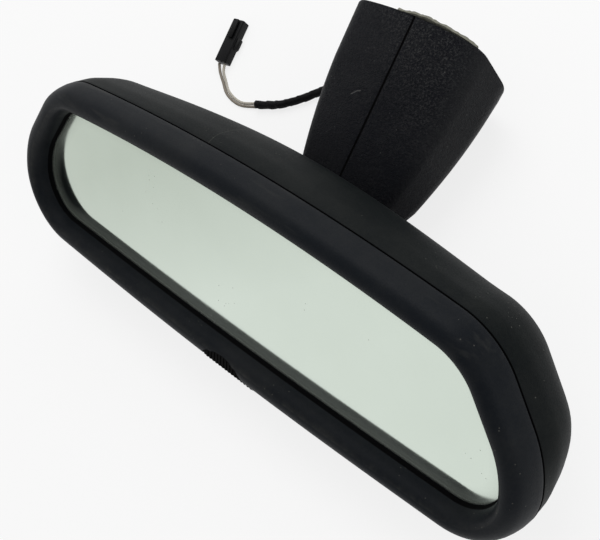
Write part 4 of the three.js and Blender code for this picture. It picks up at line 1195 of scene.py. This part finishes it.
# %% White table
bpy.ops.mesh.primitive_plane_add(size=40, location=(0, 0, 0))
table = bpy.context.object
table.name = "table"
white = Finish("white table")
rays = white.tree.nodes.new("ShaderNodeLightPath")
seen = Value(white, rays.outputs["Is Camera Ray"])
glossy = Value(white, rays.outputs["Is Glossy Ray"])
shown = white.tree.nodes.new("ShaderNodeEmission")
shown.inputs["Color"].default_value = (1, 1, 1, 1)
white.surface(Base_Color=(0.9, 0.9, 0.9, 1), Roughness=0.9, Specular_IOR_Level=0.0)
mixed = white.tree.nodes.new("ShaderNodeMixShader")
white.put(mixed.inputs[0], (seen * 0.8 + glossy).capped())
white.tree.links.new(white.shader.outputs[0], mixed.inputs[1])
white.tree.links.new(shown.outputs[0], mixed.inputs[2])
white.tree.links.new(mixed.outputs[0], white.tree.nodes["Material Output"].inputs[0])
table.data.materials.append(white.material)
print("table:", round(table.dimensions.x), "m across")

# %% Pale world
world = bpy.data.worlds.new("pale room")
bpy.context.scene.world = world
world.use_nodes = True
sky = world.node_tree
back = sky.nodes["Background"]
back.inputs["Color"].default_value = (1, 1, 1, 1)
AWAY_FROM_CAMERA = (-0.56, 0, -0.83)
DIFFUSE_STRENGTH, SEEN_STRENGTH = 0.5, 0.93
rays = sky.nodes.new("ShaderNodeLightPath")
direction = sky.nodes.new("ShaderNodeTexCoord")
along_view = sky.nodes.new("ShaderNodeVectorMath")
along_view.operation = "DOT_PRODUCT"
along_view.inputs[1].default_value = AWAY_FROM_CAMERA
sky.links.new(direction.outputs["Generated"], along_view.inputs[0])


def graded(value, *reach):
    step = sky.nodes.new("ShaderNodeMapRange")
    step.interpolation_type = "SMOOTHSTEP"
    for socket, number in zip(("From Min", "From Max", "To Min", "To Max"), reach):
        step.inputs[socket].default_value = number
    sky.links.new(value, step.inputs["Value"])
    return step.outputs[0]


def chosen(ray, when_not, when_so):
    mix = sky.nodes.new("ShaderNodeMix")
    sky.links.new(rays.outputs[ray], mix.inputs[0])
    for socket, value in zip(mix.inputs[2:4], (when_not, when_so)):
        if isinstance(value, float):
            socket.default_value = value
        else:
            sky.links.new(value, socket)
    return mix.outputs[0]


in_gloss = graded(along_view.outputs["Value"], -0.55, 0.22, 0.45, 1.0)
strength = chosen("Is Camera Ray", chosen("Is Glossy Ray", DIFFUSE_STRENGTH, in_gloss), SEEN_STRENGTH)
sky.links.new(strength, back.inputs["Strength"])
print("world nodes:", len(sky.nodes))

# %% Lamps
LAMPS_AIM = Vector((0, 0, 0.03))


def soft_lamp(name, place, size, power):
    bpy.ops.object.light_add(type="AREA", location=place)
    lamp = bpy.context.object
    lamp.name = name
    lamp.data.shape = "SQUARE"
    lamp.data.size = size
    lamp.data.energy = power
    lamp.rotation_euler = (LAMPS_AIM - Vector(place)).to_track_quat("-Z", "Y").to_euler()
    print(name, power, "W")


soft_lamp("big_soft_lamp", (-0.25, 0.55, 0.75), 0.7, 4.2)
soft_lamp("side_soft_lamp", (0.8, 0.1, 0.35), 0.5, 1.2)
bpy.context.scene.view_settings.view_transform = "Standard"
